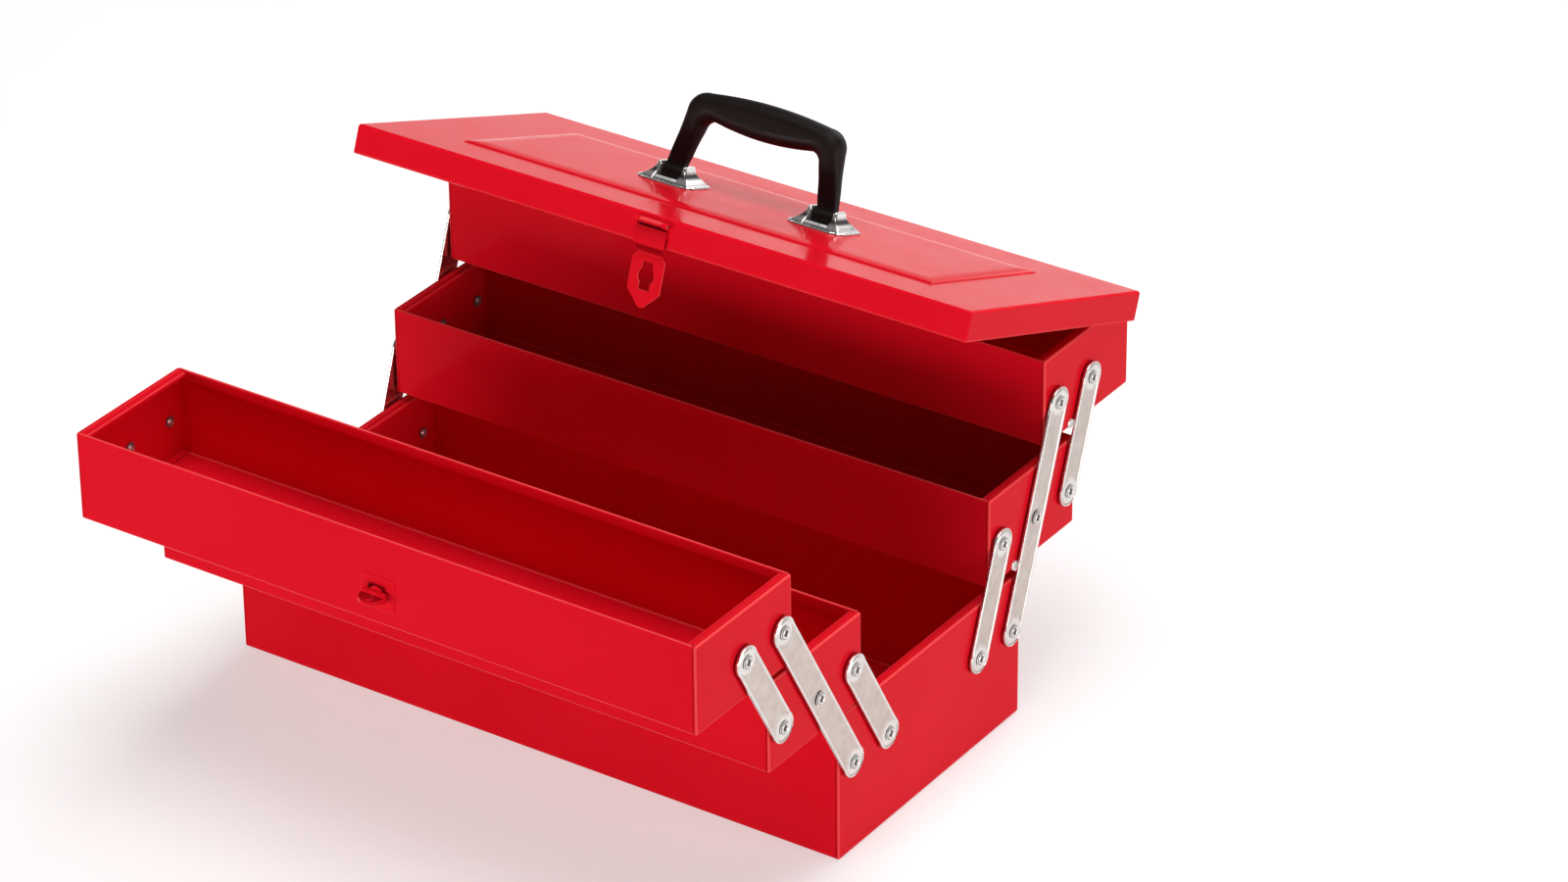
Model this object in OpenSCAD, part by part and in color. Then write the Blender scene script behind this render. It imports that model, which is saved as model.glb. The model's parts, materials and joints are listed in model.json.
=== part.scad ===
// Cantilever tool box: a base, two pairs of trays that swing out over it on
// parallel links, and a hinged lid with a handle and a hasp.
// X runs along the box, the front is at -Y and Z is up. The origin is in the
// middle of the base's underside. Both pairs of trays are drawn swung out, with
// the lid part open.

/* [Base] */
// Length of the base and of every tray
box_len = 460; // [400:1:520]
// Depth of the base, front to back
base_d = 207; // [195:1:235]
// Height of the base
base_h = 102.5; // [85:0.5:130]

/* [Trays] */
// Height of a lower tray
lower_h = 62.5; // [56:0.5:75]
// Height of an upper tray
upper_h = 60.8; // [56:0.2:75]
// Free space between the two closed trays of one level
tray_gap = 6.4; // [3:0.2:12]
// Height of a lower tray above the rim of the base
seat_gap = 0.4; // [0.3:0.1:1]
// Height of an upper tray above the rim of the lower tray
stack_gap = 3.2; // [1:0.1:5]

/* [Sheet metal] */
// Thickness of the sheet
sheet = 0.8; // [0.6:0.1:1.2]
// Outer radius of the bends
bend_r = 2.2; // [1.6:0.1:3.6]
// Thickness of the hem along the long walls
hem_t = 2.2; // [1.6:0.1:3]
// Height of that hem
hem_h = 7; // [4:0.5:10]
// Width of the flange along the top of an end plate
flange_w = 8; // [6:0.5:12]
// Step along the middle of that flange
flange_step = 0.8; // [0.4:0.1:1.5]

/* [Links] */
// Sideways reach of a link from one pin to the next
link_reach = 37.3; // [33:0.1:41]
// Spacing of the two parallel links
link_gap = 39; // [35:0.5:42]
// Width of a link
link_w = 20; // [16:0.5:22]
// Diameter of the pad around each pin
link_pad = 21.6; // [18:0.2:24]
// Thickness of a link
link_t = 2; // [1.6:0.1:3]
// Depth of the panel pressed into a link
link_press = 0.5; // [0.2:0.1:0.8]
// Space between a link and the end plate
link_off = 1.4; // [1.2:0.1:2.5]
// Distance of the outer base pin from the base's long wall
pin_inset = 12.7; // [12:0.1:18]
// Height of the pins in a lower tray
low_pin_z = 28.4; // [24:0.2:34]
// Height of the pins in an upper tray
up_pin_z = 27.5; // [24:0.2:30]
// How much less the rear links lean out than the front ones
rear_short = 9.7; // [0:0.1:20]

/* [Rivets and studs] */
// Diameter of a pivot rivet's shank
rivet_d = 5; // [4:0.1:6]
// Diameter of its head
rivet_head = 9.6; // [8:0.2:12]
// Running clearance around a shank
run_gap = 0.06; // [0.02:0.01:0.1]
// End clearance of a link on its rivet
end_gap = 0.1; // [0.05:0.05:0.3]
// Diameter of a rest stud at the foot of a rear tray
stud_d = 6.4; // [4:0.2:8]
// Distance of a rest stud from the pin of the link beside it
stud_off = 21.2; // [18:0.2:24]

/* [Lid] */
// Height of the lid's rim
lid_rim = 19.5; // [16:0.5:22]
// How far the rim stands clear of the long walls, to its outer face
lid_over = 4.2; // [3.4:0.1:6]
// Clearance between the rim and the end plates
lid_side = 0.8; // [0.5:0.1:1.2]
// Clearance of the closed lid above the trays
lid_seat = 0.3; // [0.3:0.1:1]
// Angle at which the lid stands open
lid_open = 20.8; // [5:0.1:60]
// Plain border at each end of the raised panel
panel_mx = 53; // [40:1:70]
// Plain border in front of and behind the raised panel
panel_my = 42; // [32:1:50]
// Height of the raised panel
panel_rise = 1.8; // [1:0.1:4]
// Width of the slope around it
panel_slope = 4.5; // [2:0.5:8]

/* [Lid hinge] */
// Distance of each hinge from the middle of the box
hinge_x = 150; // [100:1:170]
// Length of a hinge
hinge_len = 46; // [36:1:70]
// Length of its middle knuckle
hinge_mid = 20; // [14:1:26]
// Radius of the knuckles
knuckle_r = 2.8; // [2.4:0.1:3.4]
// Diameter of the hinge pin
hinge_pin_d = 3; // [2:0.1:3.4]
// Height of a hinge leaf
leaf_h = 12; // [9:0.5:14]
// Thickness of a hinge leaf
leaf_t = 1.2; // [0.8:0.1:1.6]
// Distance of the hinge axis behind the tray
hinge_out = 5; // [4.6:0.1:6]

/* [Handle] */
// Spacing of the two handle brackets
handle_span = 115; // [95:1:140]
// Height of the grip's top above the pivot
handle_h = 58; // [50:1:70]
// Depth of the grip from top to bottom
grip_h = 24; // [18:0.5:28]
// Thickness of the grip from front to back
grip_t = 19; // [14:0.5:24]
// Width of a leg
leg_w = 15.6; // [12:0.2:18]
// Thickness of a leg
leg_t = 9.6; // [7:0.2:10]
// How much the legs lean in towards the grip
leg_lean = 7; // [0:0.5:10]
// Rearward lean of the handle from upright on the lid
handle_lean = 7; // [-60:1:60]
// Height of the handle's pivot above the raised panel
pivot_h = 6.4; // [6.2:0.1:9]
// Diameter of the handle's pin
handle_pin_d = 4; // [3:0.1:5]

/* [Handle bracket] */
// Length of a bracket along the lid
brk_len = 43; // [38:1:52]
// Depth of a bracket
brk_dep = 33; // [26:1:40]
// Thickness of its plate
brk_t = 1; // [0.8:0.1:1.5]
// Height of its cheeks
cheek_h = 12; // [11:0.5:15]
// Side clearance between a cheek and the handle
cheek_gap = 0.4; // [0.3:0.1:0.8]

/* [Hasp] */
// Width of the hasp
hasp_w = 24.4; // [22:0.2:30]
// Length of the hasp below the top of the lid
hasp_len = 60; // [58:0.5:70]
// Thickness of the hasp
hasp_t = 1.2; // [1:0.1:1.5]
// Depth of the hasp's hinge axis below the top of the lid
hasp_top = 4.8; // [4.4:0.1:6]
// Radius of the hasp's knuckle
hasp_r = 2.1; // [1.8:0.1:2.4]
// Diameter of the hasp's pin
hasp_pin_d = 2; // [1.4:0.1:2.2]
// Depth of the middle of the slot below the top of the lid
slot_z = 39.6; // [38:0.2:42]
// Width of the slot
slot_w = 8; // [7.6:0.1:10]
// Height of the slot
slot_h = 18.2; // [17.6:0.1:22]
// Diameter of the round middle of the slot
slot_d = 12; // [11:0.1:14]

/* [Staple and turn catch] */
// Width of the staple's plate
staple_w = 26; // [22:0.5:32]
// Height of the staple's plate
staple_h = 24; // [20:0.5:30]
// Thickness of the staple's plate
staple_t = 1; // [0.8:0.1:1.2]
// Diameter of the staple's post
post_d = 5; // [4:0.1:5.6]
// Depth of the catch's wing
wing_len = 9; // [8:0.5:12]
// Thickness of the catch's wing
wing_t = 3.2; // [2.4:0.1:4]
// Diameter of the padlock eye in the wing
eye_d = 6; // [5:0.1:6.4]

/* [Hidden] */
$fn = 48;

red = "#d81e2e";
steel = "#cfcac6";
black = "#1b1718";
half_l = box_len / 2;
tray_w = (base_d - tray_gap) / 2;

// The links: each level rises by pin_rise, so the link from pin to pin follows.
pin_rise = lower_h + stack_gap + up_pin_z - low_pin_z;
link_len = sqrt(pow(link_reach, 2) + pow(pin_rise, 2));
front_lean = atan(link_reach / pin_rise);
rear_lean = front_lean - rear_short;
base_pin_y = base_d / 2 - pin_inset;
base_pin_z = base_h + seat_gap + low_pin_z - pin_rise;

// Distance from a tray's outer long wall to its long link's pin.
low_pin_y = pin_inset + link_reach;
up_pin_y = pin_inset + 2 * link_reach;

// Sheet metal details.
rivet_r = rivet_d / 2;
bore_r = rivet_r + run_gap;
snug = 0.02;
seat = 0.3;
tail_len = 1.6;
tail_flare = 1.4;
spacer_wall = 1.6;
head_t = 1.3;
head_bevel = 1.2;
dimple_r = 1.5;
dimple_d = 0.5;
stud_pin_r = 1.5;
stud_head_r = 2;
link_border = 4;
press_end = link_pad / 2 - 1;
hem_r = hem_t / 2;
lip_h = 2;
flange_gap = 0.2;

// The lid is drawn closed, around its hinge axis.
hinge_drop = lid_rim - lid_seat - sheet + knuckle_r + end_gap;
lid_z = hinge_drop + lid_seat + sheet;
lid_back = lid_over - hinge_out;
lid_front = -hinge_out - base_d - lid_over;
lid_dep = lid_back - lid_front;
lid_len = box_len + 2 * (lid_side + sheet);
lid_mid = (lid_back + lid_front) / 2;
panel_z = lid_z + panel_rise;
tray_back = -hinge_out;
hem_in = sheet + 1;

// Handle: heights are above the pivot axis, along the handle.
handle_z = panel_z + pivot_h;
eye_r = pivot_h - brk_t - 2 * seat;
leg_x = handle_span / 2;
grip_half = leg_x + leg_w / 2 - leg_lean;
leg_rise = brk_dep / 2 + 1;
corner_r = 13;
arch_r = 8;
leg_slim = 2.3;
crown = 5.5;
belly = 3.5;
bow_n = 5;
cheek_x = leg_w / 2 + cheek_gap;
cheek_top = 6;
cheek_slope = 3;
cheek_inset = 2;
bracket_cut = 7;
pin_end = 4;

// Hasp: a is the distance in front of the lid's rim, d the depth below its top.
hasp_plate_t = 1;
hasp_a = hasp_plate_t + 0.1 + hasp_r;
hasp_back = hasp_plate_t + 0.3;
hasp_in = lid_over - staple_t - 0.3;
jog_d = lid_rim + 0.4;
lug_w = 3.4;
neck_w = hasp_w - 5.4;

// Staple and catch: depths are in front of the tray's wall.
slot_face = lid_over - hasp_in + hasp_t;
collar_d = slot_d - 0.8;
collar_out = slot_face + 0.4;
catch_in = collar_out + 0.2;
catch_l = slot_h - 1.2;
catch_w = slot_w - 1.2;
head_out = catch_in + 3.2;
staple_z = upper_h + lid_seat + sheet - slot_z;

// Extrudes a Y-Z outline along X, centred.
module along_x(len) {
    rotate([90, 0, 90]) linear_extrude(height = len, center = true) children();
}

// Extrudes an X-Z outline along Y, centred.
module along_y(len) {
    rotate([90, 0, 0]) linear_extrude(height = len, center = true) children();
}

// Solid section of a tub: w wide from its outer wall, with round lower corners.
module tub_section(w, h, r) {
    translate([0, r]) square([w, h - r]);
    translate([r, 0]) square([w - 2 * r, h]);
    for (x = [r, w - r]) translate([x, r]) circle(r);
}

// Sheet section of a tub: floor, two walls and a round-topped hem inside each.
module tub_sheet(w, h) {
    difference() {
        tub_section(w, h - hem_r, bend_r);
        translate([sheet, sheet]) tub_section(w - 2 * sheet, h, bend_r - sheet);
    }
    for (x = [hem_r, w - hem_r]) {
        translate([x - hem_r, h - hem_h]) square([hem_t, hem_h - hem_r]);
        translate([x, h - hem_r]) circle(hem_r);
    }
}

// A tub between its end plates, w wide from y = 0 and standing on z = 0.
module tub(w, h) {
    color(red) along_x(box_len - 2 * sheet) tub_sheet(w, h);
}

// Section of an end plate's top, with its outer face at x = 0: bend, stepped flange, lip.
module flange_section(h) {
    mid = flange_w / 2;
    low = h - sheet - flange_step;
    translate([-sheet, h - 2 * bend_r]) square([sheet, bend_r]);
    translate([-bend_r, h - bend_r]) intersection() {
        difference() {
            circle(bend_r);
            circle(bend_r - sheet);
        }
        square(bend_r);
    }
    translate([-mid, h - sheet]) square([mid - bend_r, sheet]);
    translate([-mid - sheet, low]) square([sheet, sheet + flange_step]);
    translate([-flange_w, low]) square([mid, sheet]);
    translate([-flange_w, low - lip_h]) square([sheet, lip_h]);
}

// End plate on the right: holes lists the [y, z] of its rivets.
module end_plate(w, h, holes) {
    color(red) difference() {
        union() {
            translate([half_l - sheet / 2, 0, 0]) along_x(sheet) tub_section(w, h - bend_r, bend_r);
            translate([half_l, w / 2, 0]) along_y(w - 2 * (hem_t + flange_gap)) flange_section(h);
        }
        for (p = holes) translate([half_l, p[0], p[1]]) rotate([0, 90, 0])
            cylinder(r = rivet_r + snug, h = 4 * sheet, center = true);
    }
}

// Pivot rivet on the right end plate, along X at y = z = 0.
module rivet() {
    inner = half_l - sheet;
    face = half_l + link_off + link_t + end_gap;
    color(steel) rotate([0, 90, 0]) difference() {
        union() {
            translate([0, 0, inner - tail_len]) cylinder(r = rivet_r, h = face - inner + tail_len);
            translate([0, 0, inner - tail_len]) cylinder(r1 = rivet_r, r2 = rivet_r + tail_flare, h = tail_len);
            translate([0, 0, half_l]) cylinder(r = rivet_r + spacer_wall, h = link_off - end_gap);
            translate([0, 0, face]) cylinder(d = rivet_head, h = head_t / 2);
            translate([0, 0, face + head_t / 2])
                cylinder(d1 = rivet_head, d2 = rivet_head - 2 * head_bevel, h = head_t / 2);
        }
        translate([0, 0, face + head_t - dimple_d]) cylinder(r = dimple_r, h = 1);
    }
}

// Rivets at both ends, at each [y, z].
module rivets(places) {
    for (side = [0, 1], p = places)
        mirror([side, 0, 0]) translate([0, p[0], p[1]]) rivet();
}

// Rest stud on the right end plate, along X at y = z = 0.
module stud() {
    inner = half_l - sheet;
    color(steel) rotate([0, 90, 0]) {
        translate([0, 0, half_l]) cylinder(d = stud_d, h = link_off - seat);
        translate([0, 0, inner - tail_len]) cylinder(r = stud_pin_r, h = tail_len + sheet);
        translate([0, 0, inner - tail_len]) cylinder(r = stud_head_r, h = tail_len);
    }
}

// Rest studs at both ends, at one [y, z].
module studs(p) {
    for (side = [0, 1]) mirror([side, 0, 0]) translate([0, p[0], p[1]]) stud();
}

// Pin places, as [y, z] from a tray's outer lower edge, with its walls at y > 0.
function base_pins() = [for (y = [pin_inset, pin_inset + link_gap]) [y, base_pin_z]];
function low_pins() = [for (i = [-1, 0, 1]) [low_pin_y + i * link_gap, low_pin_z]];
function up_pins() = [for (i = [-1, 0]) [up_pin_y + i * link_gap, up_pin_z]];
function rear_stud_low() = [low_pin_y + stud_off, stud_d / 2 - 0.2];
function rear_stud_up() = [up_pin_y - link_gap + stud_off, stud_d / 2 - 0.2];

// Outer lower edge of a tray, as [y, z], for links that lean out by this angle.
function low_edge(lean) = [
    -base_pin_y - link_len * sin(lean) - low_pin_y,
    base_pin_z + link_len * cos(lean) - low_pin_z
];
function up_edge(lean) = [
    -base_pin_y - 2 * link_len * sin(lean) - up_pin_y,
    base_pin_z + 2 * link_len * cos(lean) - up_pin_z
];

// Draws a child at a front tray's edge, or mirrored at a rear tray's.
module at_front(edge) {
    translate([0, edge[0], edge[1]]) children();
}
module at_rear(edge) {
    mirror([0, 1, 0]) at_front(edge) children();
}

// A link on the right end, standing up from its lowest pin at y = z = 0.
module link(pins) {
    top = (pins - 1) * link_len;
    x0 = half_l + link_off;
    color(steel) translate([x0, 0, 0]) difference() {
        translate([link_t / 2, 0, 0]) along_x(link_t) difference() {
            union() {
                translate([-link_w / 2, 0]) square([link_w, top]);
                for (i = [0 : pins - 1]) translate([0, i * link_len]) circle(d = link_pad);
            }
            for (i = [0 : pins - 1]) translate([0, i * link_len]) circle(bore_r);
        }
        for (i = [0 : pins - 2])
            translate([link_t - link_press, link_border - link_w / 2, i * link_len + press_end])
                cube([1, link_w - 2 * link_border, link_len - 2 * press_end]);
    }
}

// A link of the front pair, at a base-frame [y, z] pin and leaning out.
module front_link(side, pins, y, z) {
    mirror([side, 0, 0]) translate([0, y, z]) rotate([front_lean, 0, 0]) link(pins);
}
module rear_link(side, pins, y, z) {
    mirror([side, 0, 0]) translate([0, -y, z]) rotate([-rear_lean, 0, 0]) link(pins);
}

// Base.
module at_base() {
    translate([0, -base_d / 2, 0]) children();
}
function base_all() = concat(base_pins(), [for (p = base_pins()) [base_d - p[0], p[1]]]);
module base_tub() at_base() tub(base_d, base_h);
module base_end_right() at_base() end_plate(base_d, base_h, base_all());
module base_end_left() mirror([1, 0, 0]) base_end_right();
module base_rivets() at_base() rivets(base_all());

// Front trays.
front_low = low_edge(front_lean);
front_up = up_edge(front_lean);
module front_lower_tub() at_front(front_low) tub(tray_w, lower_h);
module front_lower_end_right() at_front(front_low) end_plate(tray_w, lower_h, low_pins());
module front_lower_end_left() mirror([1, 0, 0]) front_lower_end_right();
module front_lower_rivets() at_front(front_low) rivets(low_pins());
module front_upper_tub() at_front(front_up) tub(tray_w, upper_h);
module front_upper_end_right() at_front(front_up) end_plate(tray_w, upper_h, up_pins());
module front_upper_end_left() mirror([1, 0, 0]) front_upper_end_right();
module front_upper_rivets() at_front(front_up) rivets(up_pins());

// Rear trays.
rear_low = low_edge(rear_lean);
rear_up = up_edge(rear_lean);
module rear_lower_tub() at_rear(rear_low) tub(tray_w, lower_h);
module rear_lower_end_right() at_rear(rear_low)
    stud_hole(rear_stud_low()) end_plate(tray_w, lower_h, low_pins());
module rear_lower_end_left() mirror([1, 0, 0]) rear_lower_end_right();
module rear_lower_rivets() at_rear(rear_low) rivets(low_pins());
module rear_lower_studs() at_rear(rear_low) studs(rear_stud_low());
module rear_upper_tub() at_rear(rear_up) tub(tray_w, upper_h);
module rear_upper_end_right() at_rear(rear_up)
    stud_hole(rear_stud_up()) end_plate(tray_w, upper_h, up_pins());
module rear_upper_end_left() mirror([1, 0, 0]) rear_upper_end_right();
module rear_upper_rivets() at_rear(rear_up) rivets(up_pins());
module rear_upper_studs() at_rear(rear_up) studs(rear_stud_up());

// Cuts the hole of a rest stud's shank through an end plate.
module stud_hole(p) {
    difference() {
        children();
        translate([half_l, p[0], p[1]]) rotate([0, 90, 0])
            cylinder(r = stud_pin_r + snug, h = 4 * sheet, center = true);
    }
}

// Links of one side: side is 0 for the right end and 1 for the left.
module front_long_link(side) front_link(side, 3, -base_pin_y, base_pin_z);
module front_inner_link(side) front_link(side, 2, -base_pin_y + link_gap, base_pin_z);
module front_outer_link(side)
    front_link(side, 2, front_low[0] + low_pin_y - link_gap, front_low[1] + low_pin_z);
module rear_long_link(side) rear_link(side, 3, -base_pin_y, base_pin_z);
module rear_inner_link(side) rear_link(side, 2, -base_pin_y + link_gap, base_pin_z);
module rear_outer_link(side)
    rear_link(side, 2, rear_low[0] + low_pin_y - link_gap, rear_low[1] + low_pin_z);

// Moves what is drawn around the hinge axis, with the lid closed, to its place.
module at_hinge() {
    translate([0, hinge_out - rear_up[0], rear_up[1] + upper_h - hinge_drop]) children();
}
module on_lid() {
    at_hinge() rotate([-lid_open, 0, 0]) children();
}

// Outline w wide and h high with round upper corners.
module cap(w, h, r) {
    translate([-w / 2, 0]) square([w, h - r]);
    translate([r - w / 2, 0]) square([w - 2 * r, h]);
    for (x = [r - w / 2, w / 2 - r]) translate([x, h - r]) circle(r);
}

// Block with round upper edges, centred on x = y = 0 and standing on z = 0.
module cushion_block(len, dep, h, r) {
    intersection() {
        along_x(len) cap(dep, h, r);
        along_y(dep) cap(len, h, r);
    }
}

// Flat-topped rise with sloping sides, from z = 0.
module raised(len, dep, rise, slope) {
    intersection() {
        along_x(len) polygon([[-dep / 2, 0], [slope - dep / 2, rise], [dep / 2 - slope, rise], [dep / 2, 0]]);
        along_y(dep) polygon([[-len / 2, 0], [slope - len / 2, rise], [len / 2 - slope, rise], [len / 2, 0]]);
    }
}

module lid_panel() color(red) on_lid() translate([0, lid_mid, lid_z - lid_rim]) {
    in_len = lid_len - 2 * sheet;
    in_dep = lid_dep - 2 * sheet;
    p_len = lid_len - 2 * panel_mx;
    p_dep = lid_dep - 2 * panel_my;
    difference() {
        union() {
            cushion_block(lid_len, lid_dep, lid_rim, bend_r);
            translate([0, 0, lid_rim]) raised(p_len, p_dep, panel_rise, panel_slope);
        }
        translate([0, 0, -1]) cushion_block(in_len, in_dep, lid_rim - sheet + 1, bend_r - sheet);
        translate([0, 0, lid_rim - sheet])
            raised(p_len - sheet, p_dep - sheet, panel_rise, panel_slope);
    }
    for (s = [-1, 1]) translate([-in_len / 2, s * (lid_dep / 2 - hem_in / 2) - hem_in / 2, 0])
        cube([in_len, hem_in, hem_h / 2]);
}

// Knuckle along X of this length, centred.
module knuckle(len, r) {
    rotate([0, 90, 0]) cylinder(r = r, h = len, center = true);
}

module lid_hinge_leaves() color(steel) on_lid()
    for (s = [-1, 1]) translate([s * hinge_x, 0, 0]) difference() {
        union() {
            knuckle(hinge_mid, knuckle_r);
            translate([-hinge_mid / 2, lid_back, 0]) cube([hinge_mid, leaf_t, knuckle_r + 1]);
            translate([-hinge_len / 2, lid_back, lid_z - lid_rim + 0.4]) cube([hinge_len, leaf_t, leaf_h]);
        }
        knuckle(hinge_len, hinge_pin_d / 2 + run_gap);
    }

module tray_hinge_leaves() color(steel) at_hinge()
    for (s = [-1, 1]) translate([s * hinge_x, 0, 0]) difference() {
        outer = (hinge_len - hinge_mid) / 2 - 0.3;
        union() {
            translate([-hinge_len / 2, tray_back, -leaf_h]) cube([hinge_len, leaf_t, leaf_h]);
            for (e = [-1, 1]) translate([e * (hinge_len - outer) / 2, 0, 0]) {
                knuckle(outer, knuckle_r);
                translate([-outer / 2, tray_back, -knuckle_r]) cube([outer, hinge_out, knuckle_r - 0.4]);
            }
        }
        knuckle(hinge_len + 1, hinge_pin_d / 2 + snug);
    }

module hinge_pins() color(steel) at_hinge()
    for (s = [-1, 1]) translate([s * hinge_x, 0, 0]) {
        knuckle(hinge_len, hinge_pin_d / 2);
        for (e = [-1, 1]) translate([e * (hinge_len + 0.8) / 2, 0, 0]) knuckle(0.8, hinge_pin_d / 2 + 0.7);
    }

// Outline of a bracket's plate, with its four corners cut.
module bracket_outline() {
    x = brk_len / 2;
    y = brk_dep / 2;
    xc = x - bracket_cut;
    yc = y - bracket_cut;
    polygon([[x, yc], [x, -yc], [xc, -y], [-xc, -y], [-x, -yc], [-x, yc], [-xc, y], [xc, y]]);
}

// Handle bracket: a plate with two sloping cheeks that hold the handle's pin.
module handle_bracket() {
    foot = brk_len / 2 - cheek_inset;
    side = brk_dep / 2 - cheek_inset;
    difference() {
        union() {
            linear_extrude(brk_t) bracket_outline();
            intersection() {
                along_y(brk_dep) for (s = [0, 1]) mirror([s, 0])
                    polygon([[cheek_x, brk_t / 2], [foot, brk_t / 2], [foot, brk_t],
                        [cheek_x + cheek_slope, cheek_h], [cheek_x, cheek_h]]);
                along_x(brk_len) polygon([[-side, 0], [side, 0], [cheek_top, cheek_h], [-cheek_top, cheek_h]]);
            }
        }
        translate([0, 0, pivot_h]) knuckle(brk_len, handle_pin_d / 2 + snug);
    }
}
module on_panel(s) {
    on_lid() translate([s * leg_x, lid_mid, panel_z]) children();
}
module handle_bracket_left() color(steel) on_panel(-1) handle_bracket();
module handle_bracket_right() color(steel) on_panel(1) handle_bracket();
module handle_pins() color(steel) for (s = [-1, 1]) on_panel(s) translate([0, 0, pivot_h])
    knuckle(2 * (cheek_x + pin_end), handle_pin_d / 2);

// Outer outline of the handle, with a crowned top and round shoulders.
module handle_outer() {
    foot = leg_x + leg_w / 2;
    shoulder = grip_half - corner_r;
    shoulder_z = handle_h - crown * pow(shoulder / grip_half, 2) - corner_r + 0.1;
    intersection() {
        union() {
            polygon([[-foot, 0], [foot, 0], [foot, leg_rise], [grip_half, shoulder_z],
                [-grip_half, shoulder_z], [-foot, leg_rise]]);
            for (s = [-1, 1]) translate([s * shoulder, shoulder_z]) circle(corner_r);
            translate([-shoulder, leg_rise]) square([2 * shoulder, handle_h]);
        }
        polygon([[foot, -handle_h], each [for (i = [bow_n : -1 : -bow_n]) let (t = i / bow_n)
            [t * (foot + 1), handle_h - crown * pow(t * (foot + 1) / grip_half, 2)]], [-foot, -handle_h]]);
    }
}

// Opening under the grip, whose lower face bellies down in the middle.
module handle_inner() {
    low = leg_x - leg_w / 2;
    high = grip_half - leg_w + leg_slim;
    arch = high - arch_r;
    grip_low = handle_h - grip_h;
    top = grip_low + belly;
    difference() {
        union() {
            polygon([[-low, -1], [low, -1], [low, leg_rise], [high, top - arch_r],
                [-high, top - arch_r], [-low, leg_rise]]);
            for (s = [-1, 1]) translate([s * arch, top - arch_r]) circle(arch_r);
            translate([-arch, top - arch_r - 1]) square([2 * arch, arch_r + 1]);
        }
        polygon([[-arch, top + 1], each [for (i = [-bow_n : bow_n]) let (t = i / bow_n)
            [t * arch, grip_low + belly * t * t]], [arch, top + 1]]);
    }
}

// Side view of the handle: slim legs and a rounded grip.
module handle_side() {
    translate([-leg_t / 2, 0]) square([leg_t, handle_h - grip_h / 2]);
    intersection() {
        translate([0, handle_h - grip_h / 2]) circle(grip_h / 2 + 0.5);
        translate([-grip_t / 2, 0]) square([grip_t, handle_h]);
    }
}

module handle() color(black) on_lid() translate([0, lid_mid, handle_z]) rotate([-handle_lean, 0, 0])
    difference() {
        union() {
            intersection() {
                along_y(grip_t) difference() {
                    handle_outer();
                    handle_inner();
                }
                along_x(handle_span + leg_w) handle_side();
            }
            for (s = [-1, 1]) translate([s * leg_x, 0, 0]) knuckle(leg_w, eye_r);
        }
        knuckle(handle_span + 2 * leg_w, handle_pin_d / 2 + run_gap);
    }

// Moves what is drawn in front of the closed lid's rim, with Z down from its top.
module on_rim() {
    on_lid() translate([0, lid_front, lid_z]) children();
}

module hasp_bracket() color(red) on_rim() difference() {
    union() {
        translate([-hasp_w / 2, -hasp_plate_t, -hasp_top - 8]) cube([hasp_w, hasp_plate_t, hasp_top + 6]);
        for (s = [-1, 1]) translate([s * (hasp_w - lug_w) / 2, 0, -hasp_top]) {
            translate([0, -hasp_a, 0]) knuckle(lug_w, hasp_r);
            translate([-lug_w / 2, -hasp_a, -1.4]) cube([lug_w, hasp_a, 2.8]);
        }
    }
    translate([0, -hasp_a, -hasp_top]) knuckle(hasp_w + 1, hasp_pin_d / 2 + snug);
}

module hasp_pin() color(steel) on_rim() translate([0, -hasp_a, -hasp_top])
    knuckle(hasp_w + 0.6, hasp_pin_d / 2);

// Front view of the hasp, with Z down: leaf, neck, shoulders and rounded tip.
module hasp_outline() {
    w = hasp_w / 2;
    n = neck_w / 2;
    k = w - lug_w - 0.3;
    tip_r = 4.5;
    side_end = hasp_len - 10.5;
    sh = jog_d + 6.5;
    polygon([[-k, -hasp_top], [k, -hasp_top], [k, -hasp_top - hasp_r - 1.2],
        [w - 0.7, -hasp_top - hasp_r - 1.2], [w - 0.7, -jog_d], [n, -jog_d - 1.2],
        [n, -sh], [w, -sh - 2.4], [w, -side_end], [tip_r - 0.6, tip_r / 2 - hasp_len],
        [0.6 - tip_r, tip_r / 2 - hasp_len], [-w, -side_end], [-w, -sh - 2.4], [-n, -sh],
        [-n, -jog_d - 1.2], [0.7 - w, -jog_d], [0.7 - w, -hasp_top - hasp_r - 1.2],
        [-k, -hasp_top - hasp_r - 1.2]]);
    translate([0, tip_r - hasp_len]) circle(tip_r);
}

// Side view of the hasp: leaf in front of the rim, jog under it, then the plate.
module hasp_side() {
    b = -hasp_back;
    f = b - hasp_t;
    polygon([[b, -hasp_top], [b, -jog_d], [hasp_in, -jog_d - 4.6], [hasp_in, -hasp_len],
        [hasp_in - hasp_t, -hasp_len], [hasp_in - hasp_t, -jog_d - 5.1], [f, -jog_d - 0.5], [f, -hasp_top]]);
}

module hasp() color(red) on_rim() difference() {
    k = hasp_w / 2 - lug_w - 0.3;
    union() {
        intersection() {
            along_x(hasp_w) hasp_side();
            along_y(4 * hasp_a) hasp_outline();
        }
        translate([0, -hasp_a, -hasp_top]) knuckle(2 * k, hasp_r);
    }
    translate([0, -hasp_a, -hasp_top]) knuckle(hasp_w, hasp_pin_d / 2 + run_gap);
    translate([0, 0, -slot_z]) along_y(4 * hasp_a) {
        translate([-slot_w / 2, -slot_h / 2]) square([slot_w, slot_h]);
        circle(d = slot_d);
    }
}

// Moves what is drawn with Z forward from the front upper tray's wall to it.
module on_wall() {
    at_front(front_up) translate([0, 0, staple_z]) rotate([90, 0, 0]) children();
}

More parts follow.
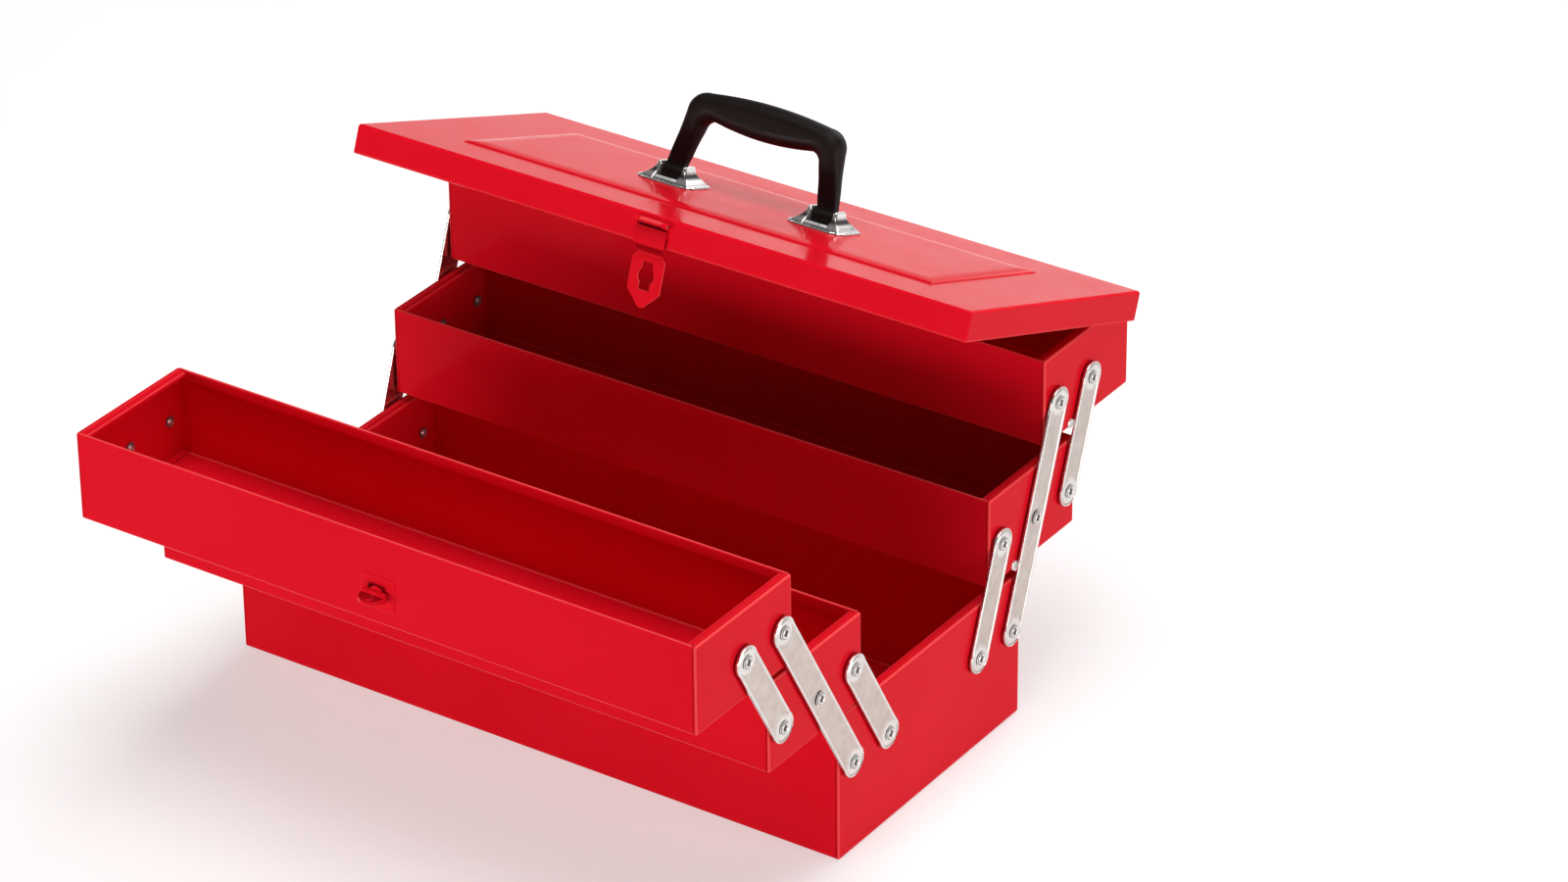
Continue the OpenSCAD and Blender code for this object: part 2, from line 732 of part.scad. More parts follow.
module staple() color(red) on_wall() {
    r = 3;
    linear_extrude(staple_t) union() {
        square([staple_w - 2 * r, staple_h], center = true);
        square([staple_w, staple_h - 2 * r], center = true);
        for (x = [-1, 1], y = [-1, 1]) translate([x * (staple_w / 2 - r), y * (staple_h / 2 - r)]) circle(r);
    }
    cylinder(d = collar_d, h = collar_out);
    cylinder(d = post_d, h = head_out - 0.6);
}

module turn_catch() color(red) on_wall() difference() {
    union() {
        translate([-catch_l / 2, -catch_w / 2, catch_in]) cube([catch_l, catch_w, head_out - catch_in]);
        intersection() {
            translate([0, 0, head_out]) rotate([90, 0, 0])
                cylinder(d = catch_l, h = wing_t, center = true);
            translate([-catch_l / 2, -wing_t / 2, head_out - 0.5]) cube([catch_l, wing_t, wing_len]);
        }
    }
    translate([0, 0, -1]) cylinder(r = post_d / 2 + run_gap, h = head_out + 0.6);
    translate([0, 0, head_out + eye_d / 2 + 0.9]) rotate([90, 0, 0]) cylinder(d = eye_d, h = catch_w, center = true);
}

base_tub();
base_end_left();
base_end_right();
base_rivets();
front_lower_tub();
front_lower_end_left();
front_lower_end_right();
front_lower_rivets();
front_upper_tub();
front_upper_end_left();
front_upper_end_right();
front_upper_rivets();
rear_lower_tub();
rear_lower_end_left();
rear_lower_end_right();
rear_lower_rivets();
rear_lower_studs();
rear_upper_tub();
rear_upper_end_left();
rear_upper_end_right();
rear_upper_rivets();
rear_upper_studs();
front_long_link(1);  // front_long_link_left
front_long_link(0);  // front_long_link_right
front_inner_link(1);  // front_inner_link_left
front_inner_link(0);  // front_inner_link_right
front_outer_link(1);  // front_outer_link_left
front_outer_link(0);  // front_outer_link_right
rear_long_link(1);  // rear_long_link_left
rear_long_link(0);  // rear_long_link_right
rear_inner_link(1);  // rear_inner_link_left
rear_inner_link(0);  // rear_inner_link_right
rear_outer_link(1);  // rear_outer_link_left
rear_outer_link(0);  // rear_outer_link_right
lid_panel();
lid_hinge_leaves();
tray_hinge_leaves();
hinge_pins();
handle_bracket_left();
handle_bracket_right();
handle_pins();
handle();
hasp_bracket();
hasp_pin();
hasp();
staple();
turn_catch();
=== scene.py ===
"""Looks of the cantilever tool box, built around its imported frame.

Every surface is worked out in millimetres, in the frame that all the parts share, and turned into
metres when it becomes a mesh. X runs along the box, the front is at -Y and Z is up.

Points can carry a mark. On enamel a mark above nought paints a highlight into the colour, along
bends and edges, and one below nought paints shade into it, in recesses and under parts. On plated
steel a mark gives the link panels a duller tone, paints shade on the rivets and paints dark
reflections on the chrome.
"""
import json

import bmesh
import bpy
import numpy as np
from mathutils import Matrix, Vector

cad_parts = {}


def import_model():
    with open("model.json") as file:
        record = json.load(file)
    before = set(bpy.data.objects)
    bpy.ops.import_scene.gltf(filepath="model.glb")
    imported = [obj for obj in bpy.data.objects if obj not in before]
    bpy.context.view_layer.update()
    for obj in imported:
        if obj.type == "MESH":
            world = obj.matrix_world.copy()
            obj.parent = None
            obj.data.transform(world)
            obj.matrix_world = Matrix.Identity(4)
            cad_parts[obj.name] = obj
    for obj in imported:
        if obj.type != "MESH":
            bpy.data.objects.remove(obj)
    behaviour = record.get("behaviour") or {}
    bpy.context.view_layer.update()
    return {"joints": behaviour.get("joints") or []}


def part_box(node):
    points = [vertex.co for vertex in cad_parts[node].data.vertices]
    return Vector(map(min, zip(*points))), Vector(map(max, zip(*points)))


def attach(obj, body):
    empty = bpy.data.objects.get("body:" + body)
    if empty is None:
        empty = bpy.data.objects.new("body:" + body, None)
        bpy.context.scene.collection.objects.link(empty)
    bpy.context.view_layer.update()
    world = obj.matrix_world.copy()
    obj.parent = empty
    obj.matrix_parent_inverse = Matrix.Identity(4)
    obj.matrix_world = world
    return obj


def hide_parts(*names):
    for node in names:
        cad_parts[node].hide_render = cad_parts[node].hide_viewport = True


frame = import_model()

MM = 0.001
JOINTS = {j["name"]: j for j in frame["joints"]}
MIRROR_X = np.diag([-1.0, 1, 1])
TO_FRONT = np.array([[1.0, 0, 0], [0, 0, -1], [0, 1, 0]])

SHEET = 0.8
BEND_R = 2.2


# ---------------------------------------------------------------- making surfaces

def box_mm(node):
    """Lowest and highest corner of a node, in millimetres."""
    low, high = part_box(node)
    return np.array(low) / MM, np.array(high) / MM


def pivot(joint):
    """Y and Z of a joint's axis, in millimetres."""
    return np.array(JOINTS[joint]["pos_m"][1:]) / MM


def arc(cx, cy, r, start, end, n=7):
    """Points on a circle of radius r around (cx, cy), from one angle to the other, in degrees."""
    a = np.radians(np.linspace(start, end, n))
    return np.stack([cx + r * np.cos(a), cy + r * np.sin(a)], -1)


def path(*stretches):
    """Joins single points and runs of points into one row of points."""
    return np.concatenate([np.atleast_2d(np.asarray(s, float)) for s in stretches])


def level(outline, z, axis=2):
    """An outline of two coordinates laid in space: the coordinate of the axis is z all round."""
    return np.insert(outline, axis, z, axis=1)


def smooth(x):
    """Smoothstep of x held between 0 and 1: three times its square less twice its cube."""
    t = np.clip(x, 0, 1)
    return t * t * (3 - 2 * t)


def round_rect(half_a, half_b, r, n=6):
    """Rounded rectangle as a loop: four quarter circles of radius r around the corners' centres."""
    t = np.radians(np.linspace(0, 90, n))
    quarter = np.stack([np.cos(t), np.sin(t)], -1) * r
    turns = [np.array([[np.cos(q), np.sin(q)], [-np.sin(q), np.cos(q)]])
             for q in np.radians([0, 90, 180, 270])]
    centres = np.array([[1, 1], [-1, 1], [-1, -1], [1, -1]]) * [half_a - r, half_b - r]
    return np.concatenate([quarter @ turn + c for turn, c in zip(turns, centres)])


def volume(verts, quads, caps):
    """Signed volume inside the faces: a sixth of the triple product of each triangle's corners,
    here without the division, as only its sign is used."""
    tris = [quads[:, [0, 1, 2]], quads[:, [0, 2, 3]]]
    for cap in caps:
        cap = np.asarray(cap)
        tris.append(np.stack([np.full(len(cap) - 2, cap[0]), cap[1:-1], cap[2:]], -1))
    a, b, c = (verts[np.concatenate(tris)[:, i]] for i in range(3))
    return np.einsum("ij,ij->", a, np.cross(b, c))


def loft(loops, ring=False, marks=None):
    """Closed loops carried along a path: quads join each loop to the next, flat caps close the
    ends. With ring the last loop joins the first instead. marks is one value per point."""
    loops = np.asarray(loops, float)
    rows, count = loops.shape[:2]
    index = np.arange(rows * count).reshape(rows, count)
    across = np.roll(index, -1, axis=1)
    used = rows if ring else rows - 1
    quads = np.stack([index, across, np.roll(across, -1, 0), np.roll(index, -1, 0)], -1)
    quads = quads[:used].reshape(-1, 4)
    caps = [] if ring else [index[0][::-1], index[-1]]
    verts = loops.reshape(-1, 3)
    if volume(verts - verts.mean(0), quads, caps) < 0:
        quads = quads[:, ::-1]
        caps = [cap[::-1] for cap in caps]
    values = np.zeros(len(verts)) if marks is None else np.asarray(marks, float).reshape(-1)
    return verts, quads, caps, values


def turned(profile, n=32, marks=None):
    """A profile of (x, radius) turned about the X axis. marks is one value per profile point."""
    a = np.linspace(0, 2 * np.pi, n, endpoint=False)
    loops = [np.stack([np.full(n, x), r * np.cos(a), r * np.sin(a)], -1) for x, r in profile]
    return loft(loops, marks=None if marks is None else np.repeat(marks, n))


def rod(length, r, end=0.4, n=28):
    """Round rod along X, centred, with bevelled ends."""
    half = length / 2
    return turned([(-half, 0), (-half, r - end), (end - half, r),
                   (half - end, r), (half, r - end), (half, 0)], n)


def block(low, high, r=0.4):
    """Box between two corners with rounded edges: rounded rectangles stacked along Y."""
    low, high = np.array(low, float), np.array(high, float)
    half, centre = (high - low) / 2, (high + low) / 2
    levels = path(arc(r, low[1] + r, r, 270, 180, 5), arc(r, high[1] - r, r, 180, 90, 5))
    loops = []
    for inset, y in levels:
        corner = max(r - inset, 0.12)
        outline = round_rect(half[0] - inset, half[2] - inset, corner, 4) + centre[[0, 2]]
        loops.append(level(outline, y, axis=1))
    return loft(loops)


def moved(part, turn=None, shift=(0, 0, 0)):
    """A part turned by a 3 by 3 matrix and then shifted. A turn that mirrors flips its faces."""
    verts, quads, caps, values = part
    turn = np.eye(3) if turn is None else np.asarray(turn, float)
    if np.linalg.det(turn) < 0:
        quads = quads[:, ::-1]
        caps = [cap[::-1] for cap in caps]
    return verts @ turn.T + np.asarray(shift, float), quads, caps, values


def both_ends(part):
    """A part of the right end and its mirror image at the left."""
    return [part, moved(part, MIRROR_X)]


def piece(name, parts, body, nodes, material, sharp=32):
    """Joins parts into one mesh object that rides on a body and replaces the named nodes."""
    verts = np.concatenate([p[0] for p in parts]) * MM
    faces, start = [], 0
    for part in parts:
        faces += (part[1] + start).tolist() + [(np.asarray(c) + start).tolist() for c in part[2]]
        start += len(part[0])
    mesh = bpy.data.meshes.new(name)
    mesh.from_pydata(verts.tolist(), [], faces)
    mesh.attributes.new("mark", "FLOAT", "POINT").data.foreach_set(
        "value", np.concatenate([p[3] for p in parts]).astype(np.float32))
    work = bmesh.new()
    work.from_mesh(mesh)
    bmesh.ops.remove_doubles(work, verts=work.verts, dist=1e-6)
    bmesh.ops.dissolve_degenerate(work, edges=work.edges, dist=1e-7)
    work.to_mesh(mesh)
    work.free()
    mesh.shade_smooth()
    mesh.set_sharp_from_angle(angle=np.radians(sharp))
    obj = bpy.data.objects.new(name, mesh)
    bpy.context.scene.collection.objects.link(obj)
    obj.data.materials.append(material)
    weighted = obj.modifiers.new("flat faces stay flat", "WEIGHTED_NORMAL")
    weighted.keep_sharp = True
    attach(obj, body)
    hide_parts(*nodes)


# ---------------------------------------------------------------- finishes

def finish(name, color, metallic=0.0, roughness=0.4, ior=1.5):
    """A principled finish whose plain values are set on the shader's own sockets."""
    material = bpy.data.materials.new(name)
    material.use_nodes = True
    shader = material.node_tree.nodes["Principled BSDF"]
    shader.inputs["Base Color"].default_value = (*color, 1)
    shader.inputs["Metallic"].default_value = metallic
    shader.inputs["Roughness"].default_value = roughness
    shader.inputs["IOR"].default_value = ior
    return material, material.node_tree, shader


def noise(tree, scale, detail=2.0):
    """Noise on object coordinates."""
    where = tree.nodes.new("ShaderNodeTexCoord")
    texture = tree.nodes.new("ShaderNodeTexNoise")
    texture.inputs["Scale"].default_value = scale
    texture.inputs["Detail"].default_value = detail
    tree.links.new(where.outputs["Object"], texture.inputs["Vector"])
    return texture.outputs["Fac"]


def spread(tree, value, low, high, from_low=0.3, from_high=0.7):
    """Maps a value from one range to another, and holds it inside the second."""
    node = tree.nodes.new("ShaderNodeMapRange")
    node.inputs["From Min"].default_value = from_low
    node.inputs["From Max"].default_value = from_high
    node.inputs["To Min"].default_value = low
    node.inputs["To Max"].default_value = high
    tree.links.new(value, node.inputs["Value"])
    return node.outputs["Result"]


def combined(tree, operation, first, second):
    """Two value sockets combined by a math operation, such as ADD or MAXIMUM."""
    node = tree.nodes.new("ShaderNodeMath")
    node.operation = operation
    tree.links.new(first, node.inputs[0])
    tree.links.new(second, node.inputs[1])
    return node.outputs["Value"]


def mark_of(tree):
    """The mark carried by a piece's points."""
    node = tree.nodes.new("ShaderNodeAttribute")
    node.attribute_name = "mark"
    return node.outputs["Fac"]


def blended(tree, factor, first, second, blend="MIX"):
    """Blends two colours, plain or from a socket, by a plain factor or one from a socket."""
    node = tree.nodes.new("ShaderNodeMix")
    node.data_type = "RGBA"
    node.blend_type = blend
    for name, value in (("Factor", factor), ("A", first), ("B", second)):
        if isinstance(value, tuple):
            node.inputs[name].default_value = (*value, 1)
        elif isinstance(value, float):
            node.inputs[name].default_value = value
        else:
            tree.links.new(value, node.inputs[name])
    return node.outputs["Result"]


def bump(tree, height, shader, strength, distance):
    """Bumps a shader's normal by a height."""
    node = tree.nodes.new("ShaderNodeBump")
    node.inputs["Strength"].default_value = strength
    node.inputs["Distance"].default_value = distance
    tree.links.new(height, node.inputs["Height"])
    tree.links.new(node.outputs["Normal"], shader.inputs["Normal"])


ENAMEL = (0.78, 0.006, 0.018)
ENAMEL_CLOUDS = (0.76, 0.005, 0.016), (0.80, 0.007, 0.020)
# Painted highlight for bends and edges, and painted shade for recesses and the undersides of parts
ENAMEL_HIGHLIGHT = (0.95, 0.10, 0.10)
ENAMEL_SHADE = (0.05, 0.0, 0.001)
ENAMEL_SHEEN = (1.0, 0.24, 0.185)
PLATE_CLOUDS = (0.86, 0.84, 0.83), (1, 1, 1)
PLASTIC = (0.006, 0.0022, 0.002)


def red_enamel():
    """Stoved gloss enamel: a deep red with slight cloudiness and fine orange peel, with a painted
    highlight where the mark is above nought and painted shade where it is below nought."""
    material, tree, shader = finish("red enamel", ENAMEL, roughness=0.15, ior=1.12)
    shader.inputs["Specular Tint"].default_value = (*ENAMEL_SHEEN, 1)
    color = blended(tree, spread(tree, noise(tree, 9.0), 0, 1), *ENAMEL_CLOUDS)
    # Painted highlight where the mark is above nought, painted shade where it is below nought
    paled = blended(tree, mark_of(tree), color, ENAMEL_HIGHLIGHT)
    dark = spread(tree, mark_of(tree), 0, 1, 0, -1)
    tree.links.new(blended(tree, dark, paled, ENAMEL_SHADE), shader.inputs["Base Color"])
    tree.links.new(spread(tree, noise(tree, 40.0), 0.12, 0.20), shader.inputs["Roughness"])
    bump(tree, noise(tree, 420.0), shader, 0.10, 0.0003)
    return material


def plated(name, bright, dull_tone_and_painted_dark, smooth_finish, dull_finish, metallic=1.0):
    """Plated steel: brighter and smoother where the mark is nought, darker and rougher where it is
    one. The darker colour is a duller tone on the link panels, painted shade on the rivets and
    painted dark reflections on the chrome.
    """
    material, tree, shader = finish(name, bright, metallic=metallic, roughness=smooth_finish)
    mark = mark_of(tree)
    cloud = spread(tree, noise(tree, 130.0, detail=4.0), 0, 1)
    tint = blended(tree, cloud, *PLATE_CLOUDS)
    color = blended(tree, 1.0, blended(tree, mark, bright, dull_tone_and_painted_dark), tint, "MULTIPLY")
    tree.links.new(color, shader.inputs["Base Color"])
    grain = noise(tree, 420.0, detail=3.0)
    plain = spread(tree, mark, smooth_finish, dull_finish, 0, 1)
    rough = combined(tree, "ADD", plain, spread(tree, grain, -0.04, 0.06))
    tree.links.new(rough, shader.inputs["Roughness"])
    bump(tree, grain, shader, 0.12, 0.0003)
    return material


def black_plastic():
    """Satin black moulding with a fine moulded grain."""
    material, tree, shader = finish("black plastic", PLASTIC, roughness=0.5, ior=1.25)
    tree.links.new(spread(tree, noise(tree, 60.0), 0.44, 0.58), shader.inputs["Roughness"])
    bump(tree, noise(tree, 900.0, detail=3.0), shader, 0.22, 0.0002)
    return material


RED = red_enamel()
ZINC = plated("zinc plate", (0.74, 0.72, 0.70), (0.60, 0.525, 0.49), 0.22, 0.46)
# The rivets' darker colour is painted shade; the chrome's is painted dark reflections
RIVET = plated("rivet steel", (0.92, 0.90, 0.88), (0.10, 0.07, 0.065), 0.22, 0.5, 0.5)
CHROME = plated("chrome", (0.88, 0.87, 0.86), (0.05, 0.045, 0.045), 0.07, 0.35, 0.8)
BLACK = black_plastic()


# ---------------------------------------------------------------- tubs and end plates

END_X = box_mm("base_end_right")[1][0]

# Hem of a wall: radius of its bead, height of its flap and radius of the flap's lower edge
HEM_R = 1.1
HEM_H = 7.0
HEM_EDGE_R = 0.5

# Painted highlights along a tub's outer bend, its hem and its inner bend. The hem's starts at this
# share of the bead's radius over its centre, and is whole this much higher
OUTER_BEND_HIGHLIGHT = 0.5
HEM_HIGHLIGHT = 0.8
INNER_BEND_HIGHLIGHT = 0.9
CREST_FROM = 0.7
CREST_RISE = 0.2

# End plate: radius of its bend, the groove between that bend and the tub's sheet, and how far the
# plate tucks in behind the sheet and with what gap
EDGE_R = 2.0
GROOVE = 0.45
TUCK = 6.0
TUCK_GAP = 0.15

# Flange: width, step down across it, depth of its lip, radius of the lip's bend, gap to the hems
FLANGE_W = 8.0
FLANGE_STEP = 0.9
FLANGE_LIP = 3.4
FLANGE_TURN = 1.3
FLANGE_GAP = 0.25


def wall_section(height):
    """One wall of a tub and its quarter of the floor bend, from the floor's underside round the hem
    to the floor's upper face: quarter circles for the bends, half a circle for the hem's bead. With
    it come the marks, painted highlights that are strongest in the middle of each bend."""
    flap = HEM_R * 2
    crest = smooth((np.sin(np.radians(np.linspace(180, 0, 11))) - CREST_FROM) / CREST_RISE)
    bend = np.sin(np.linspace(0, np.pi, 7)) ** 3
    marks = np.concatenate(
        [OUTER_BEND_HIGHLIGHT * bend, HEM_HIGHLIGHT * crest, np.zeros(5), INNER_BEND_HIGHLIGHT * bend])
    section = path(
        arc(BEND_R, BEND_R, BEND_R, 270, 180),
        arc(HEM_R, height - HEM_R, HEM_R, 180, 0, 11),
        arc(flap - HEM_EDGE_R, height - HEM_H + HEM_EDGE_R, HEM_EDGE_R, 0, -90, 4),
        (SHEET, height - HEM_H + 0.1),
        arc(BEND_R, BEND_R, BEND_R - SHEET, 180, 270),
    )
    return section, marks


def tub(name, body):
    """Floor and long walls of one bent sheet: its section carried along X between the plates."""
    low, high = box_mm(name)
    near, marks = wall_section(high[2] - low[2])
    far = near[::-1] * [-1, 1] + [high[1] - low[1], 0]
    section = path(near, far) + [low[1], low[2]]
    reach = END_X - EDGE_R - GROOVE
    loops = [level(section, x, axis=0) for x in (-reach, reach)]
    sheet = loft(loops, marks=np.tile(np.concatenate([marks, marks[::-1]]), len(loops)))
    piece(f"{name}_sheet", [sheet], body, [name], RED)


def pan(low, high):
    """End plate as a shallow pan: rounded rectangles stacked along X, set in by the bend's quarter
    circle at the outer face and by a groove where the plate tucks in behind the tub."""
    half = (high[1:] - low[1:]) / 2
    middle = (high[1:] + low[1:]) / 2
    outer = arc(EDGE_R, END_X - EDGE_R, EDGE_R, 180, 90)
    tuck = SHEET + TUCK_GAP
    start = END_X - EDGE_R - 0.05
    levels = path(
        (tuck + SHEET + 1.0, END_X - SHEET - 0.4), (tuck + SHEET, END_X - SHEET - 1.4),
        (tuck + SHEET, END_X - TUCK), (tuck, END_X - TUCK),
        (tuck, start), (0.35, start), (0.0, END_X - EDGE_R + 0.3), outer[2:])
    # Painted highlights along the outer bend, strongest halfway round it
    marks = np.concatenate([np.zeros(len(levels) - 5), [0.5, 0.9, 0.7, 0.15, 0.0]])
    loops = []
    for inset, x in levels:
        outline = round_rect(*(half - inset), max(EDGE_R - inset, 0.5)) + middle
        loops.append(level(outline, x, axis=0))
    return loft(loops, marks=np.repeat(marks, len(loops[0])))


def flange(low, high):
    """Inward flange along an end plate's top: a stepped strip with a down-turned lip, carried along
    Y. The step's edge and the lip's bend carry painted highlights."""
    top = high[2]
    start = END_X - EDGE_R + 0.55
    mid = END_X - FLANGE_W / 2 + 0.4
    end = END_X - FLANGE_W
    step = top - FLANGE_STEP
    turn = FLANGE_TURN
    upper = path((start, top), (mid + 0.7, top), arc(mid + 0.4, top - 0.4, 0.4, 80, 130, 4),
                 (mid - 0.3, step + 0.06), (mid - 0.8, step),
                 arc(end + turn, step - turn, turn, 90, 180, 6), (end, top - FLANGE_LIP))
    under = path((end + SHEET, top - FLANGE_LIP),
                 arc(end + turn, step - turn, turn - SHEET, 180, 90, 4),
                 (mid - 1.0, step - SHEET), (mid - 0.4, top - SHEET), (start, top - SHEET))
    section = path(upper, under)
    marks = np.zeros(len(section))
    marks[2:6] = 0.2, 0.5, 0.5, 0.2
    marks[9:12] = 0.4, 0.5, 0.2
    clear = 2 * HEM_R + FLANGE_GAP
    loops = [level(section, y, axis=1) for y in (low[1] + clear, high[1] - clear)]
    return loft(loops, marks=np.tile(marks, 2))


def end_plates(name, body):
    """Right and left end plates of one tub."""
    low, high = box_mm(f"{name}_end_right")
    plate = [pan(low, high), flange(low, high)]
    piece(f"{name}_end_plate_right", plate, body, [f"{name}_end_right"], RED)
    mirrored = [moved(p, MIRROR_X) for p in plate]
    piece(f"{name}_end_plate_left", mirrored, body, [f"{name}_end_left"], RED)


# ---------------------------------------------------------------- links and rivets

LINK_X0, LINK_X1 = (box_mm("front_long_link_right")[i][0] for i in (0, 1))
LINK_W = 20.0

# Width of a link at the round pads about its end pins, and the bevel along its outer edge
LINK_PAD = 20.6
LINK_EDGE = 0.55

# Pressed panel: depth, plain border, plain ring about an end pin, and the widths of their slopes
LINK_PRESS = 0.5
PRESS_BORDER = 1.5
PAD_RING = 7.6
BORDER_SLOPE = 0.8
RING_SLOPE = 1.0

# Spacer and shank of a rivet
SPACER_R = 4.1
SHANK_R = 2.5

# Rivet's tail: distance from the end plate's outer face, radius and mark; the mark paints shade
# round a bright crown
RIVET_TAIL = np.array([
    (-2.5, 0.0, 0.0), (-2.44, 0.7, 0.0), (-2.28, 1.2, 0.0), (-2.05, 1.6, 0.0), (-1.8, 1.9, 0.5),
    (-1.75, 2.2, 1.0), (-1.9, 2.5, 1.0), (-2.2, 2.9, 0.7), (-2.3, 3.3, 0.8), (-1.9, 3.8, 1.0),
    (-1.4, 3.5, 1.0), (-SHEET, 2.7, 1.0), (-SHEET, 0.0, 1.0)])

# Rivet's rolled head: distance from its seat on the link, radius and mark; the mark paints shade at
# the seat, in the groove round the roll and in its hollow
RIVET_ROLL = np.array([
    (0.0, 4.5, 1.0), (0.12, 4.72, 0.8), (0.4, 4.78, 0.0), (0.58, 4.62, 0.0), (0.64, 4.3, 0.1),
    (0.5, 3.95, 0.9), (0.5, 3.8, 1.0), (0.72, 3.62, 0.6), (1.05, 3.4, 0.0), (1.26, 3.05, 0.0),
    (1.24, 2.7, 0.0), (1.0, 2.35, 0.2), (0.6, 2.1, 0.8), (0.3, 1.6, 1.0), (0.2, 0.9, 1.0),
    (0.2, 0.0, 1.0)])

# Rest stud: length and radius of its tail, and radius of its neck through the end plate
STUD_TAIL = 2.2
STUD_TAIL_R = 2.0
STUD_NECK_R = 1.5


def link(pins, spacing):
    """Pressed link, standing along Z from its lowest pin. A point of the outline is joined to the
    nearest point of the centre line, and the face between them sinks where the panel is pressed."""
    top = (pins - 1) * spacing
    ease = (1 - np.cos(np.linspace(0, np.pi, 31)[:-1])) / 2
    along = np.concatenate([i * spacing + ease * spacing for i in range(pins - 1)] + [[top]])
    from_pin = np.minimum(along, top - along)
    pad_r = LINK_PAD / 2
    width = np.maximum(LINK_W / 2, np.sqrt(np.maximum(pad_r ** 2 - from_pin ** 2, 0)))
    side = np.stack([width, along], -1)
    outline = path(side, arc(0, top, pad_r, 0, 180, 25)[1:-1], side[::-1] * [-1, 1],
                   arc(0, 0, pad_r, 180, 360, 25)[1:-1])
    spine = np.stack([np.zeros(len(outline)), np.clip(outline[:, 1], 0, top)], -1)
    reach = np.linalg.norm(outline - spine, axis=1)[:, None]
    depth = LINK_X1 - LINK_X0
    rim = np.array([(0.4, 0.0), (0.0, 0.4), (0.0, depth - LINK_EDGE), (0.16, depth - 0.16),
                    (LINK_EDGE, depth)])
    rows = [1 - inset / reach for inset in rim[:, 0]]
    heights = [np.full(len(outline), x) for x in rim[:, 1]]
    for share in np.concatenate([np.linspace(0.92, 0.5, 15), [0.3, 0.12, 0.0]]):
        rows.append(np.full_like(reach, share))
        heights.append(np.full(len(outline), depth))
    points = np.stack([spine + row * (outline - spine) for row in rows])
    inside = smooth((LINK_W / 2 - PRESS_BORDER - np.abs(points[..., 0])) / BORDER_SLOPE)
    for pin in (0, top):
        from_axis = np.hypot(points[..., 0], points[..., 1] - pin)
        inside = inside * smooth((from_axis - PAD_RING) / RING_SLOPE)
    inside[:len(rim)] = 0
    x = LINK_X0 + np.stack(heights) - LINK_PRESS * inside
    grid = np.concatenate([x[..., None], points], -1)
    back = level(spine, LINK_X0, axis=0)[None]
    return loft(np.concatenate([back, grid]),
                marks=np.concatenate([np.zeros((1, len(spine))), inside]))


def lean_of(side):
    """Turn about X that leans a link from upright to the line between two of its pins, and their
    spacing: the sine and cosine are the line's Y and Z over its length."""
    y, z = pivot(f"{side}_lower_level") - pivot(f"{side}_fold")
    spacing = np.hypot(y, z)
    s, c = y / spacing, z / spacing
    return np.array([[1, 0, 0], [0, c, s], [0, -s, c]]), spacing


def links(side):
    """The six links of one side: long, inner and outer, at both ends of the box."""
    turn, spacing = lean_of(side)
    for kind, pins, joint in (("long", 3, "fold"), ("inner", 2, "inner_fold"),
                              ("outer", 2, "outer_fold")):
        bar = moved(link(pins, spacing), turn, (0, *pivot(f"{side}_{joint}")))
        body = f"{side}_{kind}_links"
        node = f"{side}_{kind}_link"
        piece(f"{body}_right", [bar], body, [f"{node}_right"], ZINC)
        mirrored = moved(bar, MIRROR_X)
        piece(f"{body}_left", [mirrored], body, [f"{node}_left"], ZINC)


def rivet_parts():
    """Pivot rivet: flared tail, spacer, shank through the link, and a rolled head. The groove round
    the roll, the hollow inside it, the roll's seat and the tail's rim carry painted shade."""
    head = LINK_X1 + 0.1
    face = LINK_X0 - 0.1
    tail = turned(RIVET_TAIL[:, :2] + [END_X, 0], marks=RIVET_TAIL[:, 2])
    shank = path((END_X, 0.0), (END_X, SPACER_R), (face, SPACER_R), (face, SHANK_R),
                 (head, SHANK_R))
    roll = RIVET_ROLL[:, :2] + [head, 0]
    marks = np.concatenate([np.zeros(len(shank)), RIVET_ROLL[:, 2]])
    return [tail, turned(path(shank, roll), marks=marks)]


def rivets(node, body, places):
    """Rivets of one tub at both ends, at each (y, z)."""
    parts = []
    for y, z in places:
        for part in rivet_parts():
            parts += both_ends(moved(part, shift=(0, y, z)))
    piece(f"{node}_set", parts, body, [node], RIVET)


def studs(node, body):
    """Small round rest studs at both ends."""
    low, high = box_mm(node)
    y, z = (low[1:] + high[1:]) / 2
    r = (high[1] - low[1]) / 2
    tip = high[0]
    profile = path(
        (END_X - STUD_TAIL, 0), (END_X - STUD_TAIL, STUD_TAIL_R - 0.4),
        (END_X - STUD_TAIL + 0.3, STUD_TAIL_R), (END_X - SHEET, STUD_TAIL_R),
        (END_X - SHEET, STUD_NECK_R), (END_X, STUD_NECK_R), (END_X, r),
        (tip - 0.4, r), (tip - 0.1, r - 0.35), (tip, r - 0.9), (tip, 0))
    parts = both_ends(moved(turned(profile), shift=(0, y, z)))
    piece(f"{node}_pair", parts, body, [node], RIVET)


# ---------------------------------------------------------------- lid

HINGE = pivot("lid_hinge")
LID_OPEN = -JOINTS["lid_hinge"]["range_deg"][0]

# The lid's height over the hinge axis, the depth of its rim, how far the rim stands out over the
# tray, the radius of its corners, and how far the axis stands out behind the tray
LID_TOP = 22.4
LID_RIM = 19.5
LID_OVER = 4.2
LID_CORNER = 1.6
HINGE_OUT = 5.0

# Raised panel: distance in from the sides and from the front and rear, width and height of its
# pressed step, width of the crown inside the step, and height of the whole
PANEL_MX = 53.0
PANEL_MY = 42.0
PANEL_SLOPE = 3.2
PANEL_STEP = 1.1
PANEL_CROWN = 9.0
PANEL_RISE = 1.8

